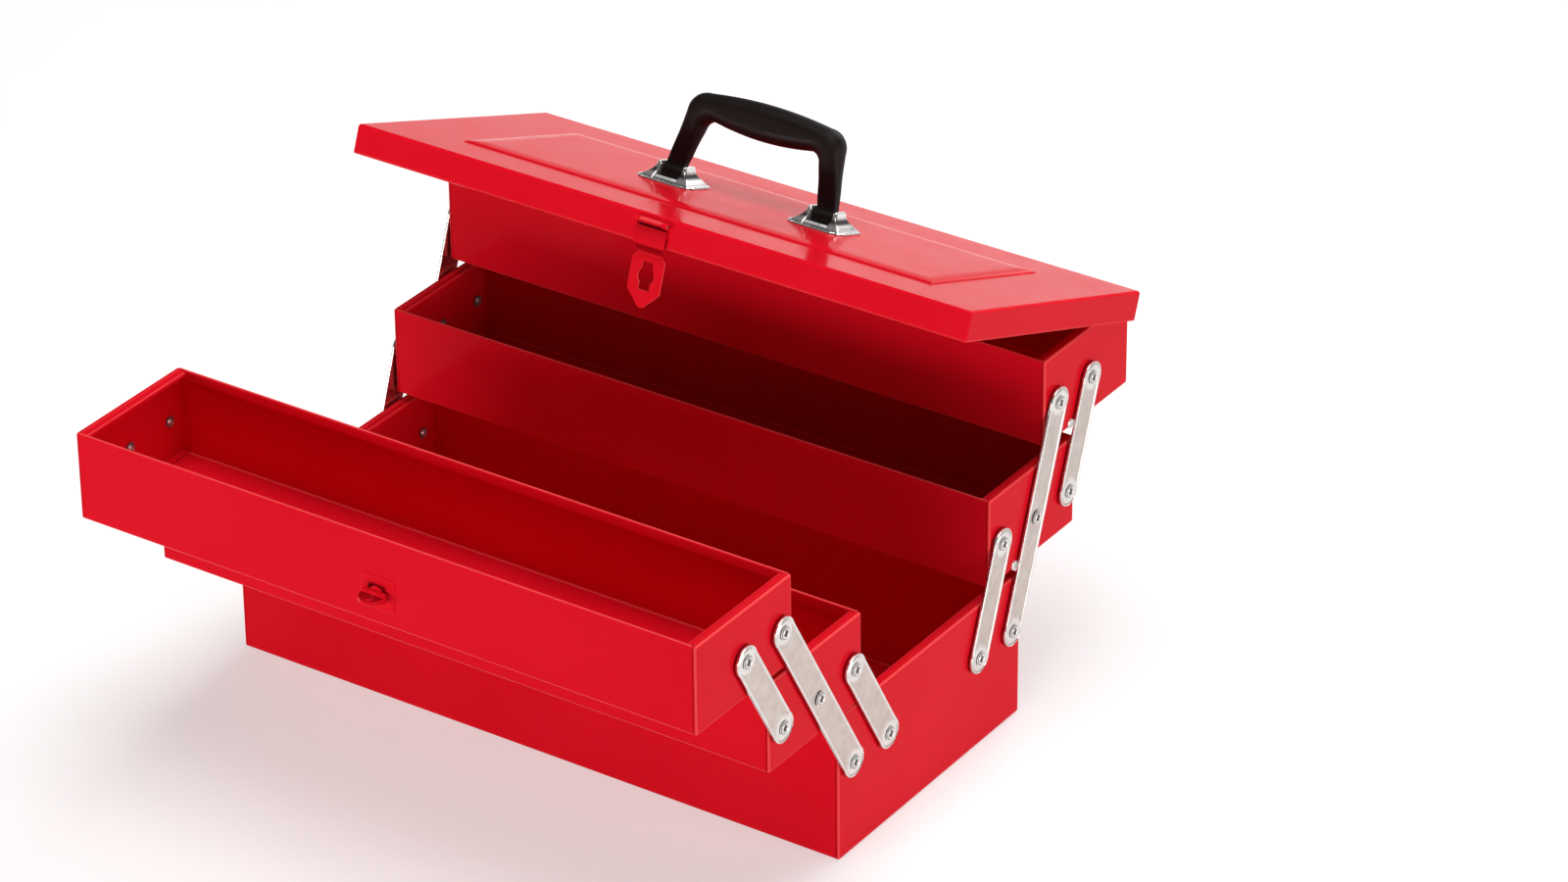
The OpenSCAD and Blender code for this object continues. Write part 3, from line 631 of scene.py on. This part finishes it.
# Lower edge of the rim, folded inwards: distance in and height over the bottom, and the same for
# the upper end of the flap
RIM_FOLD = np.array([(1.9, 0.5), (1.4, 0.1), (0.7, 0.0), (0.2, 0.2), (0.0, 0.8), (0.0, 1.5)])
RIM_FLAP = 6.5
RIM_FLAP_IN = 1.9

LID_HALF_X = box_mm("lid_panel")[1][0]
LID_REAR = LID_OVER - HINGE_OUT
BASE_DEPTH = np.ptp([box_mm("base_tub")[i][1] for i in (0, 1)])
LID_HALF_Y = (BASE_DEPTH + 2 * LID_OVER) / 2
LID_MID = LID_REAR - LID_HALF_Y
LID_FRONT = LID_REAR - 2 * LID_HALF_Y
PANEL_Z = LID_TOP + PANEL_RISE


def tilt(degrees):
    """Turn about X that leans what stands upright towards the rear."""
    c, s = np.cos(np.radians(degrees)), np.sin(np.radians(degrees))
    return np.array([[1, 0, 0], [0, c, s], [0, -s, c]])


def on_lid(part, shift=(0, 0, 0)):
    """Moves a part drawn with the lid closed, around the hinge axis, to the open lid."""
    return moved(moved(part, shift=shift), tilt(LID_OPEN), (0, *HINGE))


def lid():
    """Pressed lid: rounded rectangles stacked from the inside of the cap, over the hemmed rim and
    its bend, to the raised middle panel. The rim's lower edge and the step's rear crest carry
    painted highlights, and the step's front foot painted shade."""
    bottom = LID_TOP - LID_RIM
    r = BEND_R
    step_x, step_y = PANEL_MX + PANEL_SLOPE, PANEL_MY + PANEL_SLOPE
    outside = RIM_FOLD[:, [0, 0, 1]] + [0, 0, bottom]
    bend = arc(r, LID_TOP - r, r, 180, 90, 8)[:, [0, 0, 1]]
    t = np.linspace(0, 1, 7)[:, None]
    slope = np.concatenate([PANEL_MX + PANEL_SLOPE * t, PANEL_MY + PANEL_SLOPE * t,
                            LID_TOP + PANEL_STEP * (t * (2 - t) * 0.5 + smooth(t) * 0.5)], 1)
    t = t[1:]
    crown = np.concatenate([step_x + PANEL_CROWN * t, step_y + PANEL_CROWN * t,
                            LID_TOP + PANEL_STEP + (PANEL_RISE - PANEL_STEP) * t * (2 - t)], 1)
    inner = path(
        (step_x + PANEL_CROWN, step_y + PANEL_CROWN, LID_TOP + PANEL_RISE - SHEET),
        (step_x + 0.5, step_y + 0.5, LID_TOP + PANEL_STEP - SHEET),
        (PANEL_MX + 1, PANEL_MY + 1, LID_TOP - SHEET),
        (r, r, LID_TOP - SHEET),
        (SHEET + 0.4, SHEET + 0.4, LID_TOP - r + 0.4),
        (SHEET, SHEET, LID_TOP - r - 0.5),
        (SHEET, SHEET, bottom + RIM_FLAP),
        (RIM_FLAP_IN, RIM_FLAP_IN, bottom + RIM_FLAP - 0.3))
    levels = path(inner, outside, bend, (PANEL_MX - 1, PANEL_MY - 1, LID_TOP), slope, crown)
    loops = []
    for dx, dy, z in levels:
        corner = max(LID_CORNER - min(dx, dy), 0.6)
        outline = round_rect(LID_HALF_X - dx, LID_HALF_Y - dy, corner) + [0, LID_MID]
        loops.append(level(outline, z))
    loops = np.stack(loops)
    marks = np.zeros(loops.shape[:2])
    # Faint painted highlight along the rim's lower edge
    fold = len(inner) + 2
    marks[fold:fold + 3] = np.array([0.1, 0.25, 0.2])[:, None]
    # Painted shade at the step's front foot, painted highlight on its rear crest
    rear = loops[-1, :, 1] > LID_MID
    crest = len(levels) - len(crown) - 3
    marks[crest - 3:crest] = np.where(rear, 0.0, -0.2)
    marks[crest:crest + 3] = np.where(rear, 1.0, 0.0)
    pressing = on_lid(loft(loops, marks=marks))
    piece("lid_pressing", [pressing], "lid", ["lid_panel"], RED)


# ---------------------------------------------------------------- handle and its brackets

HANDLE_SPAN = 115.0
HANDLE_LEAN = 7.0

# Height of the grip's top and of the grip itself, half its thickness, and how far its upper and
# lower outlines bow
HANDLE_H = 58.0
GRIP_H = 24.0
GRIP_HALF_T = 9.5
CROWN = 5.5
BELLY = 3.5

# Legs: width, half thickness, half thickness added above the foot, how far they lean in towards the
# grip and slim on the way, the height and depth of the waist over the eye, and the eye's radius
LEG_W = 15.6
LEG_HALF_T = 3.0
ROOT_T = 1.4
LEG_LEAN = 7.0
LEG_SLIM = 2.3
LEG_RISE = 5.6
WAIST = 0.9
EYE_R = 5.0

# Radii where a leg turns into the grip, outside and inside
SHOULDER_R = 13.0
ARCH_R = 8.0

# Bracket: half sizes of its plate and the cut of its corners
BRK_X = 21.5
BRK_Y = 16.5
BRK_CUT = 7.0

# Cheeks: inner face, outer face at the foot and at the top, half widths there, height, and the
# rounding of the top
CHEEK_IN = 8.2
CHEEK_FOOT = 19.5
CHEEK_TOP = 11.2
CHEEK_SIDE = 14.5
CHEEK_NARROW = 6.0
CHEEK_H = 12.0
CHEEK_CROWN = 1.2

# Beaded border of the bracket's plate: distance in, height and mark; the mark paints dark
# reflections along the border's outer edge and the bead's inner foot
BRACKET_BORDER = np.array([
    (1.0, 0.0, 0.0), (0.3, 0.0, 1.0), (0.0, 0.3, 0.0), (0.05, 0.65, 0.0), (0.4, 1.05, 0.0),
    (1.1, 1.25, 0.0), (1.9, 1.2, 0.0), (2.5, 0.95, 0.0), (3.0, 0.55, 1.0), (3.8, 0.45, 1.0),
    (5.0, 0.5, 0.3)])

# Handle pins: height over the lid's panel, length and radius
PIN_Z = 6.4
PIN_LEN = 24.4
PIN_R = 2.0


def handle():
    """Moulded handle: rounded sections spanned between the inner and the outer outline, carried
    from one eye up the leg, round the shoulder, along the bowed grip and down the other leg."""
    foot = (HANDLE_SPAN + LEG_W) / 2
    low = foot - LEG_W
    half = foot - LEG_LEAN
    shoulder = half - SHOULDER_R
    shoulder_z = HANDLE_H - CROWN * (shoulder / half) ** 2 - SHOULDER_R + 0.1
    arch = half - LEG_W + LEG_SLIM - ARCH_R
    arch_z = HANDLE_H - GRIP_H + BELLY - ARCH_R
    eye_z = EYE_R * np.sin(np.radians(np.concatenate([np.linspace(-84, 42, 15), [47.0]])))
    count = len(eye_z)
    up = np.linspace(0, 1, 13)[:, None]
    across = np.linspace(1, 0, 17)[1:]
    outer = path(
        np.stack([np.full(count, foot), eye_z], -1),
        (foot - WAIST, LEG_RISE) + up * [half - foot + WAIST, shoulder_z - LEG_RISE],
        arc(shoulder, shoulder_z, SHOULDER_R, 0, 90, 13)[1:],
        np.stack([across * shoulder, HANDLE_H - CROWN * (across * shoulder / half) ** 2], -1))
    inner = path(
        np.stack([np.full(count, low), eye_z], -1),
        (low + WAIST, LEG_RISE) + up * [arch + ARCH_R - low - WAIST, arch_z - LEG_RISE],
        arc(arch, arch_z, ARCH_R, 0, 90, 13)[1:],
        np.stack([across * arch, HANDLE_H - GRIP_H + BELLY * across ** 2], -1))
    middle, reach = (outer + inner) / 2, (outer - inner) / 2
    length = np.hypot(*reach.T)
    height = middle[:, 1]
    thick = (LEG_HALF_T + ROOT_T * smooth((height - 6) / 14)
             + (GRIP_HALF_T - LEG_HALF_T - ROOT_T) * smooth((height - 16) / 26))
    thick[:count] = np.sqrt(EYE_R ** 2 - eye_z ** 2)
    corner = 1.2 + 7.0 * smooth((height - 8) / 34)
    corner = np.minimum(corner, np.minimum(length, thick) * 0.98)
    loops = []
    for m, v, h, t, r in zip(middle, reach, length, thick, corner):
        section = round_rect(h, t, r, 7)
        along = section[:, :1] * v / h
        loops.append(np.stack([m[0] + along[:, 0], section[:, 1], m[1] + along[:, 1]], -1))
    loops = np.stack(loops)
    other = (loops[:-1] * [-1, 1, 1])[::-1]
    grip = moved(loft(np.concatenate([loops, other])), tilt(LID_OPEN + HANDLE_LEAN),
                 (0, *pivot("handle_swing")))
    piece("grip_handle", [grip], "handle", ["handle"], BLACK, sharp=50)


def cut_corners(half_x, half_y, cut, n=5):
    """Rectangle with cut corners as a loop, with n points along each side."""
    side = np.linspace(cut - half_y, half_y - cut, n)
    front = np.linspace(half_x - cut, cut - half_x, n)
    return path(np.stack([np.full(n, half_x), side], -1), np.stack([front, np.full(n, half_y)], -1),
                np.stack([np.full(n, -half_x), -side], -1),
                np.stack([-front, np.full(n, -half_y)], -1))


def bracket(side):
    """Pressed handle bracket: a plate with a beaded border, and two cheeks that flare into it,
    with two grooves round them: bell curves of the height. Painted dark reflections lie along the
    grooves and along the border."""
    plate = [level(cut_corners(BRK_X - inset, BRK_Y - inset, BRK_CUT), z)
             for inset, z in BRACKET_BORDER[:, :2]]
    parts = [loft(plate, marks=np.repeat(BRACKET_BORDER[:, 2], len(plate[0])))]
    t = np.linspace(0, 1, 21)
    groove = np.exp(-((t - 0.55) / 0.17) ** 2) + 0.6 * np.exp(-((t - 0.12) / 0.05) ** 2)
    flare = (1 - t) ** 1.7 - 0.04 * groove
    crown = np.radians([30, 60, 90])
    far = CHEEK_TOP + (CHEEK_FOOT - CHEEK_TOP) * flare
    far = np.concatenate([far, far[-1] - 1.0 * (1 - np.cos(crown))])
    broad = CHEEK_NARROW + (CHEEK_SIDE - CHEEK_NARROW) * flare
    broad = np.concatenate([broad, broad[-1] - CHEEK_CROWN * (1 - np.cos(crown))])
    height = 0.45 + (CHEEK_H - CHEEK_CROWN - 0.45) * t
    height = np.concatenate([height, height[-1] + CHEEK_CROWN * np.sin(crown)])
    near = np.concatenate([np.full(len(t), CHEEK_IN), CHEEK_IN + 0.5 * (1 - np.cos(crown))])
    loops = []
    for x0, x1, y, z in zip(near, far, broad, height):
        corner = min(1.4, (x1 - x0) / 2.1)
        loops.append(level(round_rect((x1 - x0) / 2, y, corner) + [(x0 + x1) / 2, 0], z))
    loops = np.stack(loops)
    # Painted dark reflections along the grooves, on the cheeks' outer faces
    marks = np.concatenate([np.clip(1.3 * groove, 0, 1), np.zeros(len(crown))])[:, None]
    parts += both_ends(loft(loops, marks=marks * (loops[..., 0] > CHEEK_IN + 0.5)))
    name = "left" if side < 0 else "right"
    place = (side * HANDLE_SPAN / 2, LID_MID, PANEL_Z)
    piece(f"pressed_bracket_{name}", [on_lid(p, place) for p in parts], "lid",
          [f"handle_bracket_{name}"], CHROME)


def handle_pins():
    """The two pins the handle turns on."""
    pin = rod(PIN_LEN, PIN_R)
    parts = [on_lid(pin, (s * HANDLE_SPAN / 2, LID_MID, PANEL_Z + PIN_Z)) for s in (-1, 1)]
    piece("handle_pin_pair", parts, "lid", ["handle_pins"], CHROME)


# ---------------------------------------------------------------- hinges

# Hinges: distance from the middle of the box, length, length of the middle knuckle, radius of the
# knuckles, thickness of the leaves and height of the tray's leaf
HINGE_X = 150.0
HINGE_LEN = 46.0
HINGE_MID = 20.0
KNUCKLE_R = 2.8
LEAF_T = 1.2
LEAF_H = 12.0

# Lid's leaf: where its plate starts and ends over the axis, and how far its curl reaches up
LID_LEAF = (3.3, 15.3)
LID_CURL = 3.6

# Hinge pin and its upset ends
HINGE_PIN_R = 1.5
PIN_END_R = 2.2
PIN_END = 0.8


def hinges():
    """Two butt hinges: leaves on the lid's rim and on the tray's wall, curled into knuckles on a
    pin."""
    lid_side, tray_side, pins = [], [], []
    outer = (HINGE_LEN - HINGE_MID) / 2 - 0.3
    far = (HINGE_LEN - outer) / 2
    half, mid = HINGE_LEN / 2, HINGE_MID / 2
    front, back = LID_REAR, -HINGE_OUT
    for x in (-HINGE_X, HINGE_X):
        curl = block((-mid, front, -0.2), (mid, front + LEAF_T, LID_CURL))
        leaf = block((-half, front, LID_LEAF[0]), (half, front + LEAF_T, LID_LEAF[1]))
        knuckle = rod(HINGE_MID, KNUCKLE_R, 0.25)
        lid_side += [on_lid(part, (x, 0, 0)) for part in (knuckle, curl, leaf)]
        leaf = block((-half, back, -LEAF_H), (half, back + LEAF_T, 0))
        tray_side.append(moved(leaf, shift=(x, *HINGE)))
        for e in (-far, far):
            knuckle = rod(outer, KNUCKLE_R, 0.25)
            foot = block((-outer / 2, back + 0.2, -KNUCKLE_R), (outer / 2, 0, -0.6))
            tray_side += [moved(part, shift=(x + e, *HINGE)) for part in (knuckle, foot)]
        pins.append(moved(rod(HINGE_LEN + 2 * PIN_END, HINGE_PIN_R, 0.3), shift=(x, *HINGE)))
        for e in (-1, 1):
            place = (x + e * (HINGE_LEN + PIN_END) / 2, *HINGE)
            pins.append(moved(rod(PIN_END, PIN_END_R, 0.35), shift=place))
    piece("lid_leaf_pair", lid_side, "lid", ["lid_hinge_leaves"], ZINC)
    piece("tray_leaf_pair", tray_side, "rear_upper_tray", ["tray_hinge_leaves"], ZINC)
    piece("hinge_pin_pair", pins, "rear_upper_tray", ["hinge_pins"], ZINC)


# ---------------------------------------------------------------- hasp, staple and catch

# Strap: width, thickness, radius of its knuckle, the knuckle's axis in front of and below the
# lid's top edge, width of a lug beside it, and how far the neck draws in
HASP_W = 24.4
HASP_T = 1.2
HASP_R = 2.1
HASP_OUT = 3.2
HASP_TOP = 4.8
LUG_W = 3.4
NECK_IN = 2.7

# Middle planes of the strap and of the pierced plate, behind the lid's front face
STRAP_Y = -1.9
PLATE_Y = 2.3

# Depths below the lid's top edge: bend of the strap, its neck, the pierced plate's shoulders,
# where its sides end, the slot's centre and the tip. Then the radius of the tip, the slot's half
# sizes and the radius of the circle in it
JOG_D = 19.9
NECK_D = 26.4
SHOULDER_D = 28.8
SIDE_D = 49.5
SLOT_D = 39.6
HASP_LEN = 60.0
TIP_R = 4.5
SLOT_HALF = (4.0, 9.1)
SLOT_R = 6.0

# Painted shade down the strap, row by row: in the slot under the knuckle and over the jog
HASP_SHADE = [-1, -1, -0.2, 0, -0.2, -0.5, -0.6, -0.5, -0.3, 0, 0]

# Lug plate: how far below the lid's top edge it ends and starts
LUG_PLATE = (-12.8, -2.0)

# Staple: half sizes, corner, and the levels of its plate as distance in and height
STAPLE_X = 13.0
STAPLE_Z = 12.0
STAPLE_CORNER = 3.0
STAPLE_LEVELS = ((0, 0), (0.2, 0.3), (0.9, 0.8), (1.6, 1.0))

# Rings on the staple's face, and the painted shade of its levels and rings
STAPLE_RINGS = (9.8, 8.6, 7.0, 5.0)
STAPLE_SHADE = [0, 0, 0, 0, 0, -0.35, -0.95, -1.0]

# Radius, start and end of the staple's collar and of the post it carries
COLLAR = (5.6, 0.9, 2.9)
POST = (2.5, 2.8, 5.7)

# Catch: half sizes of its bar, the levels of the bar, the axis of its half round wing, and the
# wing's radius, thickness, bevel and hole
BAR_X = 8.5
BAR_Z = 3.4
BAR_LEVELS = ((0.3, 3.1), (0, 3.4), (0, 5.7), (0.18, 6.12), (0.6, 6.3))
WING_OUT = 10.2
WING_R = 8.5
WING_T = 3.2
WING_BEVEL = 0.5
EYE_HOLE_R = 3.0


def reach_of(outline, angles):
    """Distance from the origin to an outline in each direction: the nearest edge on its ray."""
    a, b = outline, np.roll(outline, -1, axis=0)
    ray = np.stack([np.cos(angles), np.sin(angles)], -1)[:, None]
    edge = (b - a)[None]
    cross = ray[..., 0] * edge[..., 1] - ray[..., 1] * edge[..., 0]
    cross = np.where(np.abs(cross) < 1e-12, 1e-12, cross)
    t = (a[:, 0] * edge[..., 1] - a[:, 1] * edge[..., 0]) / cross
    s = (a[:, 0] * ray[..., 1] - a[:, 1] * ray[..., 0]) / cross
    return np.where((t > 0) & (s > -1e-9) & (s < 1 + 1e-9), t, np.inf).min(1)


def pierced(outer, inner, thick, bevel=0.3):
    """Plate with a hole: rings between two outlines seen from the hole's centre, over bevelled
    edges, closed round through the hole. It lies in the first two axes and is thick along the
    third, and its edges carry painted highlights."""
    corners = np.concatenate([np.arctan2(o[:, 1], o[:, 0]) for o in (outer, inner)])
    evenly = np.linspace(-np.pi, np.pi, 72, endpoint=False)
    angles = np.unique(np.round(np.concatenate([corners, evenly]) % (2 * np.pi), 5))
    ray = np.stack([np.cos(angles), np.sin(angles)], -1)
    far, near = reach_of(outer, angles), reach_of(inner, angles)
    half = thick / 2
    rings = [(far - bevel, -half), (far, bevel - half), (far, half - bevel),
             (far - bevel, half), (near + bevel, half), (near, half - bevel),
             (near, bevel - half), (near + bevel, -half)]
    marks = np.repeat([0, 0.7, 0.7, 0, 0, 0.7, 0.7, 0], len(angles))
    return loft([level(ray * r[:, None], z) for r, z in rings], ring=True, marks=marks)


def hasp_slot():
    """Slot outline: a narrow slot widened by a circle in its middle. In each direction it is as far
    out as the farther of the two."""
    a = np.radians(np.arange(0, 360, 4.0))
    ray = np.stack([np.cos(a), np.sin(a)], -1)
    slot = np.min(SLOT_HALF / np.maximum(np.abs(ray), 1e-9), axis=1)
    return ray * np.maximum(slot, SLOT_R)[:, None]


def hasp():
    """Hasp: a strap carried down its side profile, joined to a pierced plate with a rounded tip."""
    w = HASP_W / 2
    curl_w, strap, neck = w - LUG_W - 0.3, w - 0.7, w - NECK_IN
    front, back = STRAP_Y, PLATE_Y
    start = HASP_TOP + HASP_R
    rows = [(HASP_TOP + 0.6, front, curl_w), (start + 1.2, front, curl_w),
            (start + 1.25, front, strap), (JOG_D - 0.8, front, strap),
            (JOG_D, front + 0.1, strap), (JOG_D + 0.7, front + 0.6, w - 1.4),
            (JOG_D + 1.3, front + 1.1, neck), (JOG_D + 3.9, back - 0.6, neck),
            (JOG_D + 4.6, back - 0.1, neck), (JOG_D + 5.4, back, neck), (NECK_D, back, neck)]
    loops = [level(round_rect(half, HASP_T / 2, 0.3, 4) + [0, y], -d) for d, y, half in rows]
    strip = loft(loops, marks=np.repeat(HASP_SHADE, len(loops[0])))
    tip = arc(0, SLOT_D - HASP_LEN + TIP_R, TIP_R, -155, -25, 9)
    outer = path((neck, SLOT_D - NECK_D), (-neck, SLOT_D - NECK_D), (-w, SLOT_D - SHOULDER_D),
                 (-w, SLOT_D - SIDE_D), tip, (w, SLOT_D - SIDE_D), (w, SLOT_D - SHOULDER_D))
    plate = moved(pierced(outer, hasp_slot(), HASP_T), TO_FRONT, (0, back, -SLOT_D))
    curl = moved(rod(2 * curl_w, HASP_R, 0.2), shift=(0, -HASP_OUT, -HASP_TOP))
    # Painted highlight along the knuckle's top and painted shade under it
    curl[3][:] = np.clip((curl[0][:, 2] + HASP_TOP) / HASP_R, -1, 0.6)
    parts = [on_lid(p, (0, LID_FRONT, LID_TOP)) for p in (strip, plate, curl)]
    piece("hasp_strap", parts, "hasp", ["hasp"], RED)


def hasp_bracket():
    """Plate and two lugs that carry the hasp's pin."""
    w = HASP_W / 2
    parts = [block((-w, -1.0, LUG_PLATE[0]), (w, 0.0, LUG_PLATE[1]), 0.3)]
    for s in (-1, 1):
        x = s * (w - LUG_W / 2)
        parts.append(moved(rod(LUG_W, HASP_R, 0.2), shift=(x, -HASP_OUT, -HASP_TOP)))
        parts.append(block((x - LUG_W / 2, -HASP_OUT, -HASP_TOP - 1.4),
                           (x + LUG_W / 2, -0.4, -HASP_TOP + 1.4), 0.2))
    place = (0, LID_FRONT, LID_TOP)
    piece("hasp_lug_plate", [on_lid(p, place) for p in parts], "lid", ["hasp_bracket"],
          RED)
    pin = moved(rod(HASP_W + 0.6, 1.0, 0.2), shift=(0, -HASP_OUT, -HASP_TOP))
    piece("hasp_pin_rod", [on_lid(pin, place)], "lid", ["hasp_pin"], ZINC)


def drum(r, start, end, bevel=0.3, n=36):
    """Round drum along the third axis, with a bevelled far end and painted shade at its root."""
    a = np.linspace(0, 2 * np.pi, n, endpoint=False)
    rows = [(0.0, start), (r, start), (r, end - bevel), (r - bevel * 0.3, end - bevel * 0.3),
            (r - bevel, end), (0.0, end)]
    return loft([np.stack([q * np.cos(a), q * np.sin(a), np.full(n, z)], -1) for q, z in rows],
                marks=np.repeat([-0.8, -0.8, 0, 0, 0, 0], n))


def staple_and_catch():
    """Staple plate with its collar and post, and the turn catch: a bar with a pierced half-round
    wing. Painted shade lies in the staple's rings, most of all at the upper left."""
    low, high = box_mm("staple")
    centre = (0, high[1], (low[2] + high[2]) / 2)
    plate = [level(round_rect(STAPLE_X - i, STAPLE_Z - i, STAPLE_CORNER - i / 2), z)
             for i, z in STAPLE_LEVELS]
    ray = plate[0][:, :2] / np.linalg.norm(plate[0][:, :2], axis=1, keepdims=True)
    plate += [level(ray * r, STAPLE_LEVELS[-1][1]) for r in STAPLE_RINGS]
    shade = smooth(0.6 + 0.5 * (ray @ [-0.5, 0.87]))
    parts = [loft(plate, marks=np.outer(STAPLE_SHADE, shade)), drum(*COLLAR), drum(*POST)]
    piece("staple_plate", [moved(p, TO_FRONT, centre) for p in parts], "front_upper_tray",
          ["staple"], RED)
    bar = [level(round_rect(BAR_X - i, BAR_Z - i, max(1.0 - i, 0.3)), z) for i, z in BAR_LEVELS]
    root = BAR_LEVELS[-1][1] - WING_OUT
    rim = path((-WING_R, root - 0.4), (WING_R, root - 0.4), arc(0, root, WING_R, 0, 180, 25))
    hole = arc(0, 0, EYE_HOLE_R, 0, 360, 37)[:-1]
    upright = [[1, 0, 0], [0, 0, 1], [0, 1, 0]]
    wing = moved(pierced(rim, hole, WING_T, WING_BEVEL), upright, (0, 0, WING_OUT))
    x, y = wing[0][:, 0], wing[0][:, 1]
    # Painted shade on the wing's upper side and a painted highlight at its left end
    wing[3][:] = np.where(y > 1.4, -0.6, np.where((abs(y) < 1.2) & (x < -4), 1.0, 0.0))
    parts = [moved(p, TO_FRONT, centre) for p in (loft(bar), wing)]
    piece("turn_catch_wing", parts, "turn_catch", ["turn_catch"], RED)


# ---------------------------------------------------------------- assembly

TRAYS = {
    "base": "base",
    "front_lower": "front_lower_tray",
    "front_upper": "front_upper_tray",
    "rear_lower": "rear_lower_tray",
    "rear_upper": "rear_upper_tray",
}
for stem, body in TRAYS.items():
    tub(f"{stem}_tub", body)
    end_plates(stem, body)

for side in ("front", "rear"):
    links(side)
    turn, spacing = lean_of(side)
    step = (turn @ [0, 0, spacing])[1:]
    inner = pivot(f"{side}_inner_fold")
    outer = pivot(f"{side}_outer_fold")
    rivets(f"{side}_lower_rivets", f"{side}_lower_tray",
           [pivot(f"{side}_lower_level"), outer, inner + step])
    rivets(f"{side}_upper_rivets", f"{side}_upper_tray",
           [pivot(f"{side}_upper_level"), outer + step])
rivets("base_rivets", "base", [pivot(f"{side}_{joint}") for side in ("front", "rear")
                               for joint in ("fold", "inner_fold")])
for height in ("lower", "upper"):
    studs(f"rear_{height}_studs", f"rear_{height}_tray")
lid()
handle()
bracket(-1)
bracket(1)
handle_pins()
hinges()
hasp_bracket()
hasp()
staple_and_catch()


# ---------------------------------------------------------------- stage, lamps and camera

# Strength of the surroundings as light on the object, and as seen overhead, from this height of the
# ray upwards
WORLD_LIGHT = 0.06
CEILING = 0.10
CEILING_FROM = 0.2

FLOOR_HALF = 30.0
FLOOR_COLOR = (0.62, 0.62, 0.62)
FLOOR_GLOW = 0.50

# Lamps: name, place, what it looks at, width, height and watts
LAMPS = (
    ("front", (0.2, -2.4, 0.22), (0, 0, 0.18), 1.8, 0.36, 12),
    ("front left", (-1.1, -2.2, 0.25), (0, 0, 0.18), 1.2, 0.36, 21),
    ("right", (2.6, -0.1, 0.3), (0, 0, 0.2), 1.2, 0.5, 30),
    ("top", (0.1, -0.2, 2.6), (0, 0, 0.1), 1.6, 1.6, 33),
    ("high rear", (0.3, 0.7, 2.6), (0, 0, 0.1), 1.6, 1.6, 18),
    ("rear", (0.0, 2.4, 1.5), (0, 0, 0.25), 1.6, 1.6, 27),
)

CAMERA_PLACE = (1.9929, -2.7675, 2.1130)
CAMERA_TURN = (60.3623, 0.4045, 33.8296)
CAMERA_LENS = 143.69
CAMERA_SENSOR = 36.0


def seen_rays(tree):
    """One for camera, glossy and transmitted rays, nought for the light itself."""
    rays = tree.nodes.new("ShaderNodeLightPath").outputs
    seen = combined(tree, "MAXIMUM", rays["Is Camera Ray"], rays["Is Glossy Ray"])
    return combined(tree, "MAXIMUM", seen, rays["Is Transmission Ray"])


def floor():
    """A wide pale floor that keeps the object's shadow."""
    s = FLOOR_HALF
    mesh = bpy.data.meshes.new("floor")
    mesh.from_pydata([(-s, -s, 0), (s, -s, 0), (s, s, 0), (-s, s, 0)], [], [(0, 1, 2, 3)])
    obj = bpy.data.objects.new("floor", mesh)
    bpy.context.scene.collection.objects.link(obj)
    material, tree, shader = finish("pale floor", FLOOR_COLOR, roughness=1.0)
    shader.inputs["Specular IOR Level"].default_value = 0.0
    shader.inputs["Emission Color"].default_value = (1, 1, 1, 1)
    glow = spread(tree, seen_rays(tree), 0.0, FLOOR_GLOW, 0, 1)
    tree.links.new(glow, shader.inputs["Emission Strength"])
    obj.data.materials.append(material)


def world():
    """White surroundings that grow darker overhead; they give the object little light."""
    surround = bpy.data.worlds.new("studio")
    bpy.context.scene.world = surround
    surround.use_nodes = True
    tree = surround.node_tree
    back = tree.nodes["Background"]
    back.inputs["Color"].default_value = (1, 1, 1, 1)
    where = tree.nodes.new("ShaderNodeTexCoord")
    split = tree.nodes.new("ShaderNodeSeparateXYZ")
    tree.links.new(where.outputs["Generated"], split.inputs["Vector"])
    overhead = spread(tree, split.outputs["Z"], 1.0, CEILING, 0.0, CEILING_FROM)
    strength = tree.nodes.new("ShaderNodeMix")
    tree.links.new(seen_rays(tree), strength.inputs["Factor"])
    strength.inputs["A"].default_value = WORLD_LIGHT
    tree.links.new(overhead, strength.inputs["B"])
    tree.links.new(strength.outputs["Result"], back.inputs["Strength"])


def lamp(name, place, target, wide, tall, watts):
    """A soft panel lamp that looks from one point to another."""
    data = bpy.data.lights.new(name, "AREA")
    data.shape = "RECTANGLE"
    data.size = wide
    data.size_y = tall
    data.energy = watts
    obj = bpy.data.objects.new(name, data)
    bpy.context.scene.collection.objects.link(obj)
    obj.location = place
    toward = obj.location - type(obj.location)(target)
    obj.rotation_euler = toward.to_track_quat("Z", "Y").to_euler()


floor()
world()
for row in LAMPS:
    lamp(*row)

camera = bpy.data.cameras.new("camera")
camera.lens = CAMERA_LENS
camera.sensor_width = CAMERA_SENSOR
view = bpy.data.objects.new("camera", camera)
bpy.context.scene.collection.objects.link(view)
view.location = CAMERA_PLACE
view.rotation_euler = np.radians(CAMERA_TURN)
bpy.context.scene.camera = view
bpy.context.scene.view_settings.view_transform = "Standard"
